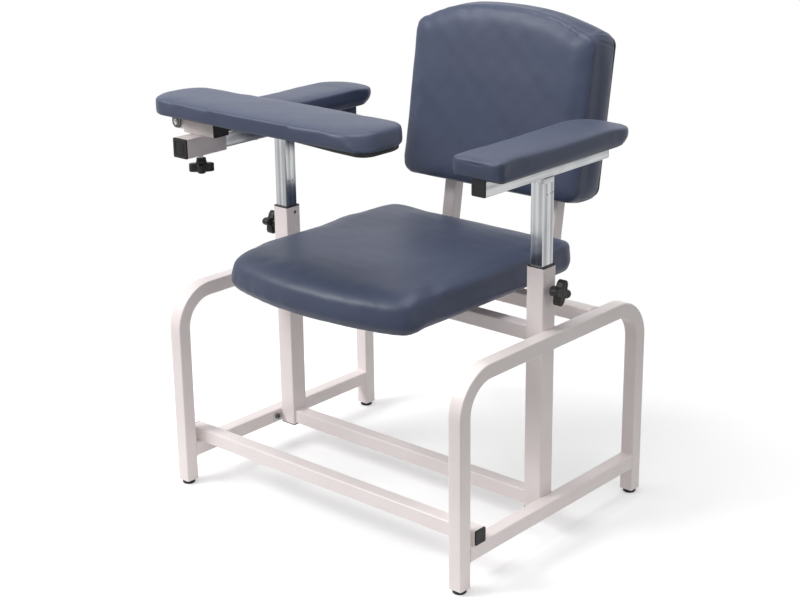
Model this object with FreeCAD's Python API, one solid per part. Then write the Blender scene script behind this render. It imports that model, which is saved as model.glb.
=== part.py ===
import FreeCAD, Part
import math
import os

# A phlebotomy chair. Lengths are in millimetres and angles in degrees.
# The chair faces -Y and +X is the sitter's left. The origin lies on the floor,
# midway between the side frames and midway between their legs.

Vector = FreeCAD.Vector
UP = Vector(0, 0, 1)
DOWN = Vector(0, 0, -1)
LEFT = Vector(1, 0, 0)
RIGHT = Vector(-1, 0, 0)
FORWARD = Vector(0, -1, 0)
BACKWARD = Vector(0, 1, 0)
RIGHT_ANGLE = 90
FULL_TURN = 360

# Side frames: one square tube each, bent into an upside-down U.
frame_width = 780.0
frame_depth = 596.0
frame_height = 438.0
frame_tube = 30.0
frame_wall = 2.0
tube_corner = 3.0
bend_radius = 75.0

# Feet under the four legs.
foot_height = 9.0
foot_radius = 13.5
foot_stem = 15.0

# Rails and stretchers of the same square tube.
stretcher_height = 60.0
front_rail_gap = 11.0
rear_rail_height = 62.0
seat_rear_rail_place = 155.0

# Uprights that hold the armrest posts.
upright_tube = 40.0
upright_wall = 2.5
upright_place = 5.0
upright_rise = 122.0
bush_length = 35.0
bush_screw_drop = 12.0
bush_screw_shift = 4.0

# Black plastic end caps of every square tube.
cap_thickness = 2.5
cap_reach = 12.0
cap_play = 0.1

# Armrest posts, rails and pads.
post_tube = 32.0
post_wall = 2.0
post_length = 390.0
left_rail_height = 734.0
right_rail_height = 724.0
left_rail_front = -185.0
right_rail_front = -262.0
left_rail_rear = 195.0
right_rail_rear = 212.0
left_pad_front = -197.0
right_pad_front = -125.0
left_pad_rear = 220.0
right_pad_rear = 236.0
arm_pad_width = 124.0
arm_pad_height = 41.0
arm_pad_crown = 2.0
arm_pad_draw = 4.0
arm_pad_rear_draw = 16.0
arm_pad_wide_rise = 18.0
arm_pad_corner = 16.0
arm_pad_rear_corner = 38.0
arm_board_height = 10.0
arm_board_inset = 5.0
left_pad_bolts = (-120.0, 120.0)
right_pad_bolts = (-80.0, 120.0)

# Height knobs on the uprights and the knob under the sleeve.
knob_drop = 45.0
knob_gap = 6.0
knob_hub_radius = 10.0
knob_hub_length = 11.0
knob_thickness = 17.0
knob_radius = 23.0
knob_lobe_radius = 7.5
knob_waist_radius = 13.5
knob_lobes = 4
knob_rounding = 2.0
knob_stud_radius = 4.0
knob_stud_bite = 14.0

# Sliding sleeve on the right rail, with its cross bracket.
sleeve_tube = 40.0
sleeve_wall = 2.5
sleeve_front = -284.0
sleeve_length = 105.0
sleeve_cap_thickness = 3.0
sleeve_cap_reach = 6.0
liner_length = 20.0
sleeve_knob_place = -232.0
sleeve_knob_gap = 9.0
bracket_place = -223.0
bracket_outer_reach = 64.0
bracket_inner_reach = 52.0
bracket_end_round = 19.0
bracket_notch_length = 29.0
bracket_notch_height = 7.0
pivot_inset = 10.0

# Hinge of the drawing pad.
hinge_thickness = 3.0
hinge_lift = 0.3
hinge_outer_reach = 26.0
hinge_inner_reach = 64.0
ear_width = 24.0
ear_play = 0.3
pivot_radius = 4.0
pivot_head_radius = 5.75
pivot_head_height = 4.0
pivot_nut_radius = 7.5
pivot_nut_height = 6.5
pivot_nut_sides = 6
pivot_tail = 2.0
hinge_screw_radius = 1.75
hinge_screw_head_radius = 3.5
hinge_screw_head_height = 1.75
hinge_screw_length = 9.0
hinge_screw_spread = 26.0
hinge_screw_shift = 8.0

# Drawing pad, measured from the arm rail and from the bracket's middle.
pad_outer_reach = 92.0
pad_inner_reach = 506.0
pad_base_half_width = 73.0
pad_base_bow = 1.5
pad_crease_outer_draw = 8.0
pad_crease_inner_draw = 13.0
pad_crease_bulge = 7.0
pad_crease_bow = 13.0
pad_height = 33.0
pad_crown = 3.5
pad_board_height = 9.0
pad_board_inset = 8.0

# Corner radii of the drawing pad: outer front, inner front, inner rear, outer rear.
pad_base_corners = (64.0, 34.0, 70.0, 60.0)
pad_crease_corners = (46.0, 74.0, 50.0, 38.0)

# Seat cushion and board.
seat_lift = 2.0
seat_wide_rise = 22.0
seat_half_width = 252.0
seat_front = -302.0
seat_bow = 40.0
seat_rear = 252.0
seat_front_corner = 40.0
seat_rear_corner = 34.0
seat_draw = 13.0
seat_crown_side = 69.0
seat_crown_middle = 76.0
seat_board_height = 12.0
seat_board_inset = 30.0
seat_bolt_front = 60.0
seat_bolt_rear = 215.0

# Depth along the seat from front to rear, and the heights of the crown at the
# side and in the middle, as shares of the cushion's depth and of its crown.
seat_crown_shares = (
    (-0.02, 0.78, 0.74),
    (0.06, 0.92, 0.90),
    (0.22, 0.99, 0.99),
    (0.55, 1.00, 1.00),
    (0.85, 1.00, 0.95),
    (1.02, 0.99, 0.87),
)

# Back: two bent supports under the seat and up into the back cushion.
support_spread = 276.0
support_front = -20.0
support_bend_radius = 60.0
support_end = 250.0
recline = 9.0
back_gap = 2.0
back_rise = 134.0
back_half_width = 240.0
back_arch_height = 391.0
back_arch = 41.0
back_thickness = 92.0
back_crown = 8.0
back_draw = 7.0
back_low_corner = 30.0
back_high_corner = 26.0
back_board_thickness = 12.0
back_pocket_inset = 7.0
batten_width = 24.0
batten_start = 62.0
batten_length_share = 0.61
batten_top_share = 0.84
cover_thickness = 4.0
cover_inset = 3.0
cover_screw_inset = 6.0
cover_screw_shares = (0.08, 0.45, 0.75)
back_bolt_shares = (0.24, 0.52)
slot_play = 0.5

# Fasteners.
bolt_radius = 4.0
bolt_head_radius = 6.5
bolt_head_height = 4.0
bolt_bite = 8.0
screw_radius = 1.75
screw_head_radius = 3.5
screw_head_height = 1.8
screw_length = 16.0
bush_screw_length = 3.6
washer_radius = 12.0
washer_thickness = 1.5
stretcher_bolt_place = -29.0
stretcher_bolt_length = 20.0

# Clearances and cutting overrun.
slide_play = 0.08
stud_play = 0.05
stud_tip_gap = 0.3
overrun = 5.0
shortest_edge = 0.01

# Places that follow from the sizes above.
tube_x = (frame_width - frame_tube) / 2
leg_y = (frame_depth - frame_tube) / 2
inner_x = frame_width / 2 - frame_tube
top_rail_z = frame_height - frame_tube / 2
arm_x = inner_x - upright_tube / 2
rail_x = inner_x - upright_tube
bearer_z = frame_height + frame_tube / 2
bearer_top = frame_height + frame_tube
upright_top = frame_height + upright_rise
knob_height = upright_top - knob_drop
seat_base_height = bearer_top + seat_lift
seat_wide_height = seat_base_height + seat_wide_rise
back_place = seat_rear + back_gap
back_height = bearer_top + back_rise
right_rail_z = right_rail_height + post_tube / 2
sleeve_top = right_rail_z + sleeve_tube / 2
sleeve_bottom = right_rail_z - sleeve_tube / 2
bracket_z = sleeve_top + sleeve_tube / 2
bracket_top = sleeve_top + sleeve_tube
bracket_outer_x = -arm_x - bracket_outer_reach
bracket_inner_x = -arm_x + bracket_inner_reach
pivot_x = bracket_outer_x + pivot_inset
hinge_bottom = bracket_top + hinge_lift
hinge_top = hinge_bottom + hinge_thickness


def turned(shape, place, turn):
    """A copy of a shape, turned about the origin and then moved to a place."""
    copy = shape.copy()
    copy.Placement = FreeCAD.Placement(place, turn).multiply(shape.Placement)
    return copy


def placed(shape, place, axis=UP):
    """A copy of a shape with its own Z axis turned to an axis and moved to a place."""
    return turned(shape, place, FreeCAD.Rotation(UP, axis))


def mirrored(shape):
    """The same shape on the other side of the chair."""
    return shape.mirror(Vector(0, 0, 0), LEFT)


def joined(shapes):
    """One solid made of touching shapes."""
    return shapes[0].fuse(shapes[1:]).removeSplitter()


def gathered(shapes):
    """Separate solids kept together as one group."""
    return Part.makeCompound(shapes)


def block(low, high):
    """A box between two opposite corners."""
    size = high - low
    return Part.makeBox(size.x, size.y, size.z, low)


def line_edges(start, end):
    """A straight edge, or none where the two ends meet."""
    if start.distanceToPoint(end) < shortest_edge:
        return []
    return [Part.makeLine(start, end)]


def arc_edge(start, middle, end):
    """An arc through three points."""
    return Part.Arc(start, middle, end).toShape()


def square_face(width, corner):
    """A square with rounded corners about the origin, in the XY plane."""
    half = width / 2
    flat = half - corner
    cut = flat + corner * math.sqrt(0.5)
    edges = []
    for turn in range(4):
        spin = FreeCAD.Rotation(UP, turn * RIGHT_ANGLE)
        points = [
            Vector(half, -flat, 0),
            Vector(half, flat, 0),
            Vector(cut, cut, 0),
            Vector(flat, half, 0),
        ]
        low, high, middle, end = [spin.multVec(point) for point in points]
        edges.append(Part.makeLine(low, high))
        edges.append(arc_edge(high, middle, end))
    return Part.Face(Part.Wire(edges))


def tube_face(width, wall):
    """The cross-section of a square tube."""
    inner = square_face(width - 2 * wall, tube_corner - wall)
    return square_face(width, tube_corner).cut(inner)


def tube(width, wall, start, axis, length):
    """A straight square tube from a start point along an axis."""
    return placed(tube_face(width, wall).extrude(UP * length), start, axis)


def plug(width, wall, thickness, reach):
    """A cap for the end of a square tube: a plate above Z 0 and a stem below."""
    stem_width = width - 2 * (wall + cap_play)
    plate = square_face(width, tube_corner).extrude(UP * thickness)
    stem = square_face(stem_width, tube_corner - wall).extrude(DOWN * reach)
    return joined([plate, stem])


def end_cap(width, wall, place, axis):
    """A black cap that closes a square tube whose end faces along an axis."""
    return placed(plug(width, wall, cap_thickness, cap_reach), place, axis)


def bolt(head_radius, head_height, shank_radius, length):
    """A bolt with its head above Z 0 and its shank below."""
    head = Part.makeCylinder(head_radius, head_height)
    shank = Part.makeCylinder(shank_radius, length, Vector(0, 0, 0), DOWN)
    return joined([head, shank])


def hole(radius, length, place, axis):
    """A round cutter that starts an overrun before its place."""
    start = place - axis * overrun
    return Part.makeCylinder(radius, length + overrun, start, axis)


def corner_arc(half, edge, bow, corner, side, inward):
    """The three points of a rounded corner between a straight side and a bowed edge.

    They run from the bowed edge to the straight side.
    """
    centre_x = side * (half - corner)
    if bow > 0:
        bow_radius = (half * half + bow * bow) / (2 * bow)
        bow_centre = Vector(0, edge + inward * bow_radius, 0)
        reach = math.sqrt((bow_radius - corner) ** 2 - (half - corner) ** 2)
        centre = Vector(centre_x, bow_centre.y - inward * reach, 0)
        towards = (centre - bow_centre).normalize()
        start = bow_centre + towards * bow_radius
    else:
        centre = Vector(centre_x, edge + inward * corner, 0)
        start = Vector(centre_x, edge, 0)
    end = Vector(side * half, centre.y, 0)
    towards = (start - centre + end - centre).normalize()
    return start, centre + towards * corner, end


def outline(half, low, low_bow, high, high_bow, corners, height):
    """A closed outline with straight sides, bowed ends and rounded corners.

    The ends lie at low and high in Y and bulge outward by their bows. The corner
    radii run low left, low right, high right, high left, as seen from above.
    """
    low_left = corner_arc(half, low, low_bow, corners[0], -1, 1)
    low_right = corner_arc(half, low, low_bow, corners[1], 1, 1)
    high_right = corner_arc(half, high, high_bow, corners[2], 1, -1)
    high_left = corner_arc(half, high, high_bow, corners[3], -1, -1)
    if low_bow > 0:
        edges = [arc_edge(low_left[0], Vector(0, low, 0), low_right[0])]
    else:
        edges = line_edges(low_left[0], low_right[0])
    edges.append(arc_edge(*low_right))
    edges.extend(line_edges(low_right[2], high_right[2]))
    edges.append(arc_edge(*reversed(high_right)))
    if high_bow > 0:
        edges.append(arc_edge(high_right[0], Vector(0, high, 0), high_left[0]))
    else:
        edges.extend(line_edges(high_right[0], high_left[0]))
    edges.append(arc_edge(*high_left))
    edges.extend(line_edges(high_left[2], low_left[2]))
    edges.append(arc_edge(*reversed(low_left)))
    wire = Part.Wire(edges)
    wire.translate(UP * height)
    return wire


def soft_body(wires):
    """A cushion's sides, drawn from one outline to the next."""
    return Part.makeLoft(wires, True, True)


def crown_face(half, side_height, middle_height, base, place):
    """An arched section across the chair, standing at a place along Y."""
    low_left = Vector(-half, place, base)
    low_right = Vector(half, place, base)
    high_right = Vector(half, place, side_height)
    high_left = Vector(-half, place, side_height)
    edges = [
        Part.makeLine(low_left, low_right),
        Part.makeLine(low_right, high_right),
        arc_edge(high_right, Vector(0, place, middle_height), high_left),
        Part.makeLine(high_left, low_left),
    ]
    return Part.Wire(edges)


def crown_block(half, crease, crown, base, low, high):
    """A block under an arched top that runs along Y and passes over both creases."""
    radius = (half * half + crown * crown) / (2 * crown)
    reach = half + overrun
    top = crease + crown
    side = top - radius + math.sqrt(radius * radius - reach * reach)
    section = crown_face(reach, side, top, base, low)
    return Part.Face(section).extrude(BACKWARD * (high - low))


def side_frame():
    """The left side frame: two legs, two bends and a top run."""
    section = tube_face(frame_tube, frame_wall)
    bend_z = top_rail_z - bend_radius
    bend_y = leg_y - bend_radius
    shapes = [tube(frame_tube, frame_wall, Vector(tube_x, -bend_y, top_rail_z),
                   BACKWARD, 2 * bend_y)]
    for side in (-1, 1):
        leg = placed(section, Vector(tube_x, side * leg_y, foot_height))
        shapes.append(leg.extrude(UP * (bend_z - foot_height)))
        bend = placed(section, Vector(tube_x, side * leg_y, bend_z))
        centre = Vector(tube_x, side * bend_y, bend_z)
        shapes.append(bend.revolve(centre, LEFT, side * RIGHT_ANGLE))
    return joined(shapes)


def foot():
    """One foot standing on the floor, with a stem that fills the leg's bore."""
    stem_width = frame_tube - 2 * (frame_wall + cap_play)
    stem = square_face(stem_width, tube_corner - frame_wall).extrude(UP * foot_stem)
    stem.translate(UP * foot_height)
    return joined([Part.makeCylinder(foot_radius, foot_height), stem])


def stretcher():
    """The left stretcher between the legs, bored for its bolt."""
    run = frame_depth - 2 * frame_tube
    middle_z = stretcher_height + frame_tube / 2
    body = tube(frame_tube, frame_wall, Vector(tube_x, -run / 2, middle_z), BACKWARD, run)
    place = Vector(inner_x, stretcher_bolt_place, middle_z)
    return body.cut(hole(bolt_radius, stretcher_bolt_length, place, LEFT))


def cross_rail(half, place, middle_z):
    """A square tube across the chair."""
    return tube(frame_tube, frame_wall, Vector(-half, place, middle_z), LEFT, 2 * half)


def bored_rail(half, place):
    """A seat rail bored from below for the support bolts."""
    rail = cross_rail(half, place, top_rail_z)
    low = frame_height - frame_tube
    for side in (-1, 1):
        drill = Vector(side * support_spread / 2, place, low)
        rail = rail.cut(hole(bolt_radius, frame_tube + overrun, drill, UP))
    return rail


def upright():
    """The left upright with its knob bore and its bush screw bore."""
    body = tube(upright_tube, upright_wall, Vector(arm_x, upright_place, stretcher_height),
                UP, upright_top - stretcher_height)
    knob_bore = hole(knob_stud_radius + stud_play, upright_tube / 2,
                     Vector(inner_x, upright_place, knob_height), RIGHT)
    screw_place = Vector(rail_x, upright_place + bush_screw_shift,
                         upright_top - bush_screw_drop)
    screw_bore = hole(screw_radius, bush_screw_length, screw_place, LEFT)
    return body.cut(knob_bore).cut(screw_bore)


def bush():
    """The left bush: a flange on the upright and a sleeve around the post."""
    sleeve_width = upright_tube - 2 * (upright_wall + cap_play)
    bore_width = post_tube + 2 * slide_play
    flange = square_face(upright_tube, tube_corner).extrude(UP * cap_thickness)
    sleeve = square_face(sleeve_width, tube_corner - upright_wall)
    body = joined([flange, sleeve.extrude(DOWN * bush_length)])
    bore = square_face(bore_width, tube_corner).extrude(UP * (bush_length + 2 * overrun))
    bore.translate(DOWN * (bush_length + overrun))
    body = placed(body.cut(bore), Vector(arm_x, upright_place, upright_top))
    screw_place = Vector(rail_x, upright_place + bush_screw_shift,
                         upright_top - bush_screw_drop)
    return body.cut(hole(screw_radius, bush_screw_length, screw_place, LEFT))


def bush_screw():
    """The screw through the left upright into its bush."""
    screw = bolt(screw_head_radius, screw_head_height, screw_radius, bush_screw_length)
    place = Vector(rail_x, upright_place + bush_screw_shift, upright_top - bush_screw_drop)
    return placed(screw, place, RIGHT)


def stretcher_bolt():
    """The bolt in the left stretcher, with its head on the washer."""
    shank = stretcher_bolt_length + washer_thickness
    body = bolt(bolt_head_radius, bolt_head_height, bolt_radius, shank)
    place = Vector(inner_x - washer_thickness, stretcher_bolt_place,
                   stretcher_height + frame_tube / 2)
    return placed(body, place, RIGHT)


def stretcher_washer():
    """The washer between the left stretcher and its bolt head."""
    ring = Part.makeCylinder(washer_radius, washer_thickness)
    ring = ring.cut(hole(bolt_radius, washer_thickness + overrun, Vector(0, 0, 0), UP))
    place = Vector(inner_x, stretcher_bolt_place, stretcher_height + frame_tube / 2)
    return placed(ring, place, RIGHT)


def knob_outline():
    """The outline of a star knob: round lobes joined by round valleys."""
    step = math.pi / knob_lobes
    lobe_place = knob_radius - knob_lobe_radius
    spare = knob_lobe_radius - knob_waist_radius
    valley_place = (lobe_place ** 2 - spare ** 2) / (2 * (spare + lobe_place * math.cos(step)))
    edges = []
    for index in range(knob_lobes):
        middle = 2 * step * index
        along = Vector(math.cos(middle), math.sin(middle), 0)
        centre = along * lobe_place
        tip = along * knob_radius
        ends = []
        for side in (-1, 1):
            angle = middle + side * step
            valley = Vector(math.cos(angle), math.sin(angle), 0) * valley_place
            ends.append(centre + (valley - centre).normalize() * knob_lobe_radius)
        edges.append(arc_edge(ends[0], tip, ends[1]))
        waist = middle + step
        low = Vector(math.cos(waist), math.sin(waist), 0) * knob_waist_radius
        next_end = FreeCAD.Rotation(UP, math.degrees(2 * step)).multVec(ends[0])
        edges.append(arc_edge(ends[1], low, next_end))
    return Part.Wire(edges)


def knob():
    """A star knob on a hub that starts at Z 0, bored for its stud."""
    star = Part.Face(knob_outline()).extrude(UP * knob_thickness)
    rims = []
    for edge in star.Edges:
        box = edge.BoundBox
        if box.ZMax - box.ZMin < shortest_edge:
            rims.append(edge)
    star = star.makeFillet(knob_rounding, rims)
    star.translate(UP * knob_hub_length)
    hub = Part.makeCylinder(knob_hub_radius, knob_hub_length + knob_rounding)
    body = joined([star, hub])
    return body.cut(hole(knob_stud_radius, knob_stud_bite, Vector(0, 0, 0), UP))


def knob_stud(outside):
    """A knob's stud: it ends inside the knob and reaches back to Z minus outside."""
    return Part.makeCylinder(knob_stud_radius, outside + knob_stud_bite, DOWN * outside)


def side_knob():
    """The left height knob, clear of the upright."""
    return placed(knob(), Vector(inner_x + knob_gap, upright_place, knob_height), LEFT)


def side_knob_stud():
    """The stud of the left height knob, which presses on the post."""
    tip_x = arm_x + post_tube / 2 + stud_tip_gap
    outside = inner_x + knob_gap - tip_x
    place = Vector(inner_x + knob_gap, upright_place, knob_height)
    return placed(knob_stud(outside), place, LEFT)


def lean_direction():
    """The direction up along the back."""
    angle = math.radians(recline)
    return Vector(0, math.sin(angle), math.cos(angle))


def depth_direction():
    """The direction straight into the back."""
    angle = math.radians(recline)
    return Vector(0, math.cos(angle), -math.sin(angle))


def back_support():
    """The left support: a run under the seat, a bend and a run up the back."""
    support_x = support_spread / 2
    depth = back_thickness - frame_tube / 2
    lean = lean_direction()
    on_lean = Vector(support_x, back_place, back_height) + depth_direction() * depth
    along = (bearer_z - on_lean.z) / lean.z
    corner = on_lean + lean * along
    turn = RIGHT_ANGLE - recline
    reach = support_bend_radius * math.tan(math.radians(turn / 2))
    bend_start = Vector(support_x, corner.y - reach, bearer_z)
    start = Vector(support_x, support_front, bearer_z)
    section = tube_face(frame_tube, frame_wall)
    run = tube(frame_tube, frame_wall, start, BACKWARD, bend_start.y - support_front)
    centre = bend_start + UP * support_bend_radius
    bend = placed(section, bend_start, BACKWARD).revolve(centre, LEFT, turn)
    rise_length = support_end - along - reach
    rise = placed(section, bend_start, BACKWARD)
    rise.rotate(centre, LEFT, turn)
    body = joined([run, bend, rise.extrude(lean * rise_length)])
    low = Vector(support_x, upright_place, frame_height)
    body = body.cut(hole(bolt_radius, bolt_bite, low, UP))
    low = Vector(support_x, seat_rear_rail_place, frame_height)
    body = body.cut(hole(bolt_radius, bolt_bite, low, UP))
    for place in (seat_bolt_front, seat_bolt_rear):
        low = Vector(support_x, place, frame_height)
        body = body.cut(hole(bolt_radius, frame_tube + overrun, low, UP))
    for share in back_bolt_shares:
        body = body.cut(back_bolt_hole(support_x, share, bolt_radius))
    return body


def support_bolt(place):
    """The bolt up through a seat rail into the left support."""
    body = bolt(bolt_head_radius, bolt_head_height, bolt_radius, frame_tube + bolt_bite)
    low = frame_height - frame_tube
    return placed(body, Vector(support_spread / 2, place, low), DOWN)


def seat_bolt(place):
    """The bolt up through the left support into the seat board."""
    body = bolt(bolt_head_radius, bolt_head_height, bolt_radius, frame_tube + bolt_bite)
    return placed(body, Vector(support_spread / 2, place, frame_height), DOWN)


def seat_outline(inset, height):
    """The seat's outline, drawn in by an inset."""
    corners = (seat_front_corner, seat_front_corner, seat_rear_corner, seat_rear_corner)
    corners = tuple(corner - inset / 2 for corner in corners)
    return outline(seat_half_width - inset, seat_front + inset, seat_bow,
                   seat_rear - inset / 2, 0, corners, height)


def seat_board():
    """The ply board under the seat cushion, bored for the seat bolts."""
    face = Part.Face(seat_outline(seat_draw + seat_board_inset, bearer_top))
    board = face.extrude(UP * seat_board_height)
    for side in (-1, 1):
        for place in (seat_bolt_front, seat_bolt_rear):
            drill = Vector(side * support_spread / 2, place, bearer_top)
            board = board.cut(hole(bolt_radius, bolt_bite, drill, UP))
    return board


def seat_crown():
    """The body under the seat's top face, which falls away at the front."""
    half = seat_half_width + overrun
    depth = seat_rear - seat_front
    base = seat_base_height - overrun
    sections = []
    for along, side_share, middle_share in seat_crown_shares:
        side_height = seat_base_height + seat_crown_side * side_share
        middle_height = seat_base_height + seat_crown_middle * middle_share
        place = seat_front + depth * along
        sections.append(crown_face(half, side_height, middle_height, base, place))
    return Part.makeLoft(sections, True, False)


def seat_cushion():
    """The seat cushion: sides drawn in at the bottom, a crowned top, a board pocket."""
    top = seat_base_height + seat_crown_middle + overrun
    sides = soft_body([
        seat_outline(seat_draw, seat_base_height),
        seat_outline(0, seat_wide_height),
        seat_outline(0, top),
    ])
    cushion = sides.common(seat_crown())
    pocket = Part.Face(seat_outline(seat_draw + seat_board_inset, bearer_top))
    return cushion.cut(pocket.extrude(UP * seat_board_height))


def back_outline(inset, height):
    """The back's outline, drawn in by an inset; it lies on its back, foot at Y 0."""
    corners = (back_low_corner, back_low_corner, back_high_corner, back_high_corner)
    corners = tuple(corner - inset / 2 for corner in corners)
    return outline(back_half_width - inset, inset, 0, back_arch_height - inset, back_arch,
                   corners, height)


def stood_up(shape):
    """A shape built lying on its back, front face up, turned into the leaning back."""
    turn = FreeCAD.Rotation(LEFT, RIGHT_ANGLE - recline)
    return turned(shape, Vector(0, back_place, back_height), turn)


def back_bolt_hole(place_x, share, radius):
    """A bore from behind the back, through cover and support into the board."""
    start = Vector(place_x, back_arch_height * share, -back_thickness - cover_thickness)
    length = cover_thickness + frame_tube + bolt_bite
    return stood_up(hole(radius, length, start, UP))


def slab(inset, top, thickness):
    """A flat panel of the back's outline below a height, still lying down."""
    return Part.Face(back_outline(inset, top - thickness)).extrude(UP * thickness)


def back_board():
    """The board inside the back, bored for the back bolts."""
    top = frame_tube + back_board_thickness - back_thickness
    board = stood_up(slab(back_draw + back_pocket_inset, top, back_board_thickness))
    for side in (-1, 1):
        for share in back_bolt_shares:
            board = board.cut(back_bolt_hole(side * support_spread / 2, share, bolt_radius))
    return board


def back_battens():
    """Three battens between the board and the cover: two sides and one across."""
    half = back_half_width - back_draw - back_pocket_inset
    high = batten_start + back_arch_height * batten_length_share
    floor = -back_thickness
    ceiling = floor + frame_tube
    side = block(Vector(half - batten_width, batten_start, floor), Vector(half, high, ceiling))
    across_y = back_arch_height * batten_top_share
    reach = support_spread / 2
    across = block(Vector(-reach, across_y - batten_width, floor),
                   Vector(reach, across_y, ceiling))
    battens = []
    for shape in (side, mirrored(side), across):
        for cutter in cover_screw_holes():
            shape = shape.cut(cutter)
        battens.append(stood_up(shape))
    return gathered(battens)


def cover_screw_places():
    """The places of the cover's screws, on its rear face, still lying down."""
    half = back_half_width - back_draw - back_pocket_inset - cover_screw_inset
    length = back_arch_height * batten_length_share
    places = []
    for side in (-1, 1):
        for share in cover_screw_shares:
            along = batten_start + length * share
            places.append(Vector(side * half, along, -back_thickness - cover_thickness))
    return places


def cover_screw_holes():
    """The bores of the cover's screws, still lying down."""
    return [hole(screw_radius, screw_length, place, UP) for place in cover_screw_places()]


def cover_screws():
    """The screws that hold the cover to the side battens."""
    screw = bolt(screw_head_radius, screw_head_height, screw_radius, screw_length)
    return gathered([stood_up(placed(screw, place, DOWN)) for place in cover_screw_places()])


def back_cover():
    """The rear cover panel, bored for its screws and for the back bolts."""
    cover = slab(back_draw + cover_inset, -back_thickness, cover_thickness)
    for cutter in cover_screw_holes():
        cover = cover.cut(cutter)
    cover = stood_up(cover)
    for side in (-1, 1):
        for share in back_bolt_shares:
            cover = cover.cut(back_bolt_hole(side * support_spread / 2, share, bolt_radius))
    return cover


def back_bolts():
    """The bolts through cover and supports into the board."""
    length = cover_thickness + frame_tube + bolt_bite
    body = bolt(bolt_head_radius, bolt_head_height, bolt_radius, length)
    bolts = []
    for side in (-1, 1):
        for share in back_bolt_shares:
            place = Vector(side * support_spread / 2, back_arch_height * share,
                           -back_thickness - cover_thickness)
            bolts.append(stood_up(placed(body, place, DOWN)))
    return gathered(bolts)


def back_cushion():
    """The back cushion: crowned front, pocket for the board and slots for the tubes."""
    sides = soft_body([
        back_outline(back_draw, -back_thickness),
        back_outline(0, -back_thickness / 2),
        back_outline(0, overrun),
    ])
    crown = crown_block(back_half_width, -back_crown, back_crown, -back_thickness - overrun,
                        -overrun, back_arch_height + overrun)
    cushion = sides.common(crown)
    depth = frame_tube + back_board_thickness
    cushion = cushion.cut(slab(back_draw + back_pocket_inset, depth - back_thickness, depth))
    half_slot = frame_tube / 2 + slot_play
    for side in (-1, 1):
        middle = side * support_spread / 2
        low = Vector(middle - half_slot, -overrun, -back_thickness - overrun)
        high = Vector(middle + half_slot, back_low_corner,
                      frame_tube + slot_play - back_thickness)
        cushion = cushion.cut(block(low, high))
    return stood_up(cushion)


def arm_post(rail_height):
    """A post on the left that carries an arm rail at a height."""
    start = Vector(arm_x, upright_place, rail_height - post_length)
    return tube(post_tube, post_wall, start, UP, post_length)


def arm_rail(rail_height, front, rear, bolt_places):
    """An arm rail on the left, bored for the board bolts."""
    start = Vector(arm_x, front, rail_height + post_tube / 2)
    rail = tube(post_tube, post_wall, start, BACKWARD, rear - front)
    for place in bolt_places:
        drill = Vector(arm_x, place, rail_height)
        rail = rail.cut(hole(bolt_radius, post_tube + overrun, drill, UP))
    return rail


def arm_outline(front, rear, inset, rear_inset, height):
    """The outline of an arm pad on the left, drawn in at the sides and at the rear."""
    front_corner = arm_pad_corner - inset
    rear_corner = arm_pad_rear_corner - inset
    corners = (front_corner, front_corner, rear_corner, rear_corner)
    wire = outline(arm_pad_width / 2 - inset, front + inset, 0, rear - rear_inset, 0,
                   corners, height)
    wire.translate(LEFT * arm_x)
    return wire


def arm_board_slab(rail_height, front, rear):
    """The plain board on an arm rail, inside the foot of its cushion."""
    inset = arm_pad_draw + arm_board_inset
    rear_inset = arm_pad_rear_draw + arm_board_inset
    base = rail_height + post_tube
    face = Part.Face(arm_outline(front, rear, inset, rear_inset, base))
    return face.extrude(UP * arm_board_height)


def arm_board(rail_height, front, rear, bolt_places):
    """The board between an arm rail and its cushion, bored for its bolts."""
    board = arm_board_slab(rail_height, front, rear)
    for place in bolt_places:
        drill = Vector(arm_x, place, rail_height + post_tube)
        board = board.cut(hole(bolt_radius, bolt_bite, drill, UP))
    return board


def arm_cushion(rail_height, front, rear):
    """An arm cushion on the left with a crowned top and a pocket for its board."""
    base = rail_height + post_tube
    crease = base + arm_pad_height
    sides = soft_body([
        arm_outline(front, rear, arm_pad_draw, arm_pad_rear_draw, base),
        arm_outline(front, rear, 0, 0, base + arm_pad_wide_rise),
        arm_outline(front, rear, 0, 0, crease + arm_pad_crown + overrun),
    ])
    crown = crown_block(arm_pad_width / 2, crease, arm_pad_crown, base - overrun,
                        front - overrun, rear + overrun)
    crown.translate(LEFT * arm_x)
    return sides.common(crown).cut(arm_board_slab(rail_height, front, rear))


def arm_bolts(rail_height, bolt_places):
    """The bolts up through an arm rail into its board."""
    body = bolt(bolt_head_radius, bolt_head_height, bolt_radius, post_tube + bolt_bite)
    places = [Vector(arm_x, place, rail_height) for place in bolt_places]
    return gathered([placed(body, place, DOWN) for place in places])


def arm_rail_cap(rail_height, end, axis):
    """The cap on an end of an arm rail on the left."""
    place = Vector(arm_x, end, rail_height + post_tube / 2)
    return end_cap(post_tube, post_wall, place, axis)


def arm_sleeve():
    """The sleeve around the front of the right rail, bored for its knob."""
    start = Vector(-arm_x, sleeve_front, right_rail_z)
    body = tube(sleeve_tube, sleeve_wall, start, BACKWARD, sleeve_length)
    drill = Vector(-arm_x, sleeve_knob_place, sleeve_bottom)
    return body.cut(hole(knob_stud_radius + stud_play, sleeve_tube / 2, drill, UP))


def sleeve_liners():
    """The two liners between sleeve and rail."""
    outer = sleeve_tube - 2 * (sleeve_wall + cap_play)
    inner = post_tube + 2 * slide_play
    ring = square_face(outer, tube_corner - sleeve_wall).cut(square_face(inner, tube_corner))
    liner = ring.extrude(UP * liner_length)
    front = sleeve_front + sleeve_cap_reach + slide_play
    rear = sleeve_front + sleeve_length - liner_length
    places = [Vector(-arm_x, front, right_rail_z), Vector(-arm_x, rear, right_rail_z)]
    return gathered([placed(liner, place, BACKWARD) for place in places])


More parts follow.
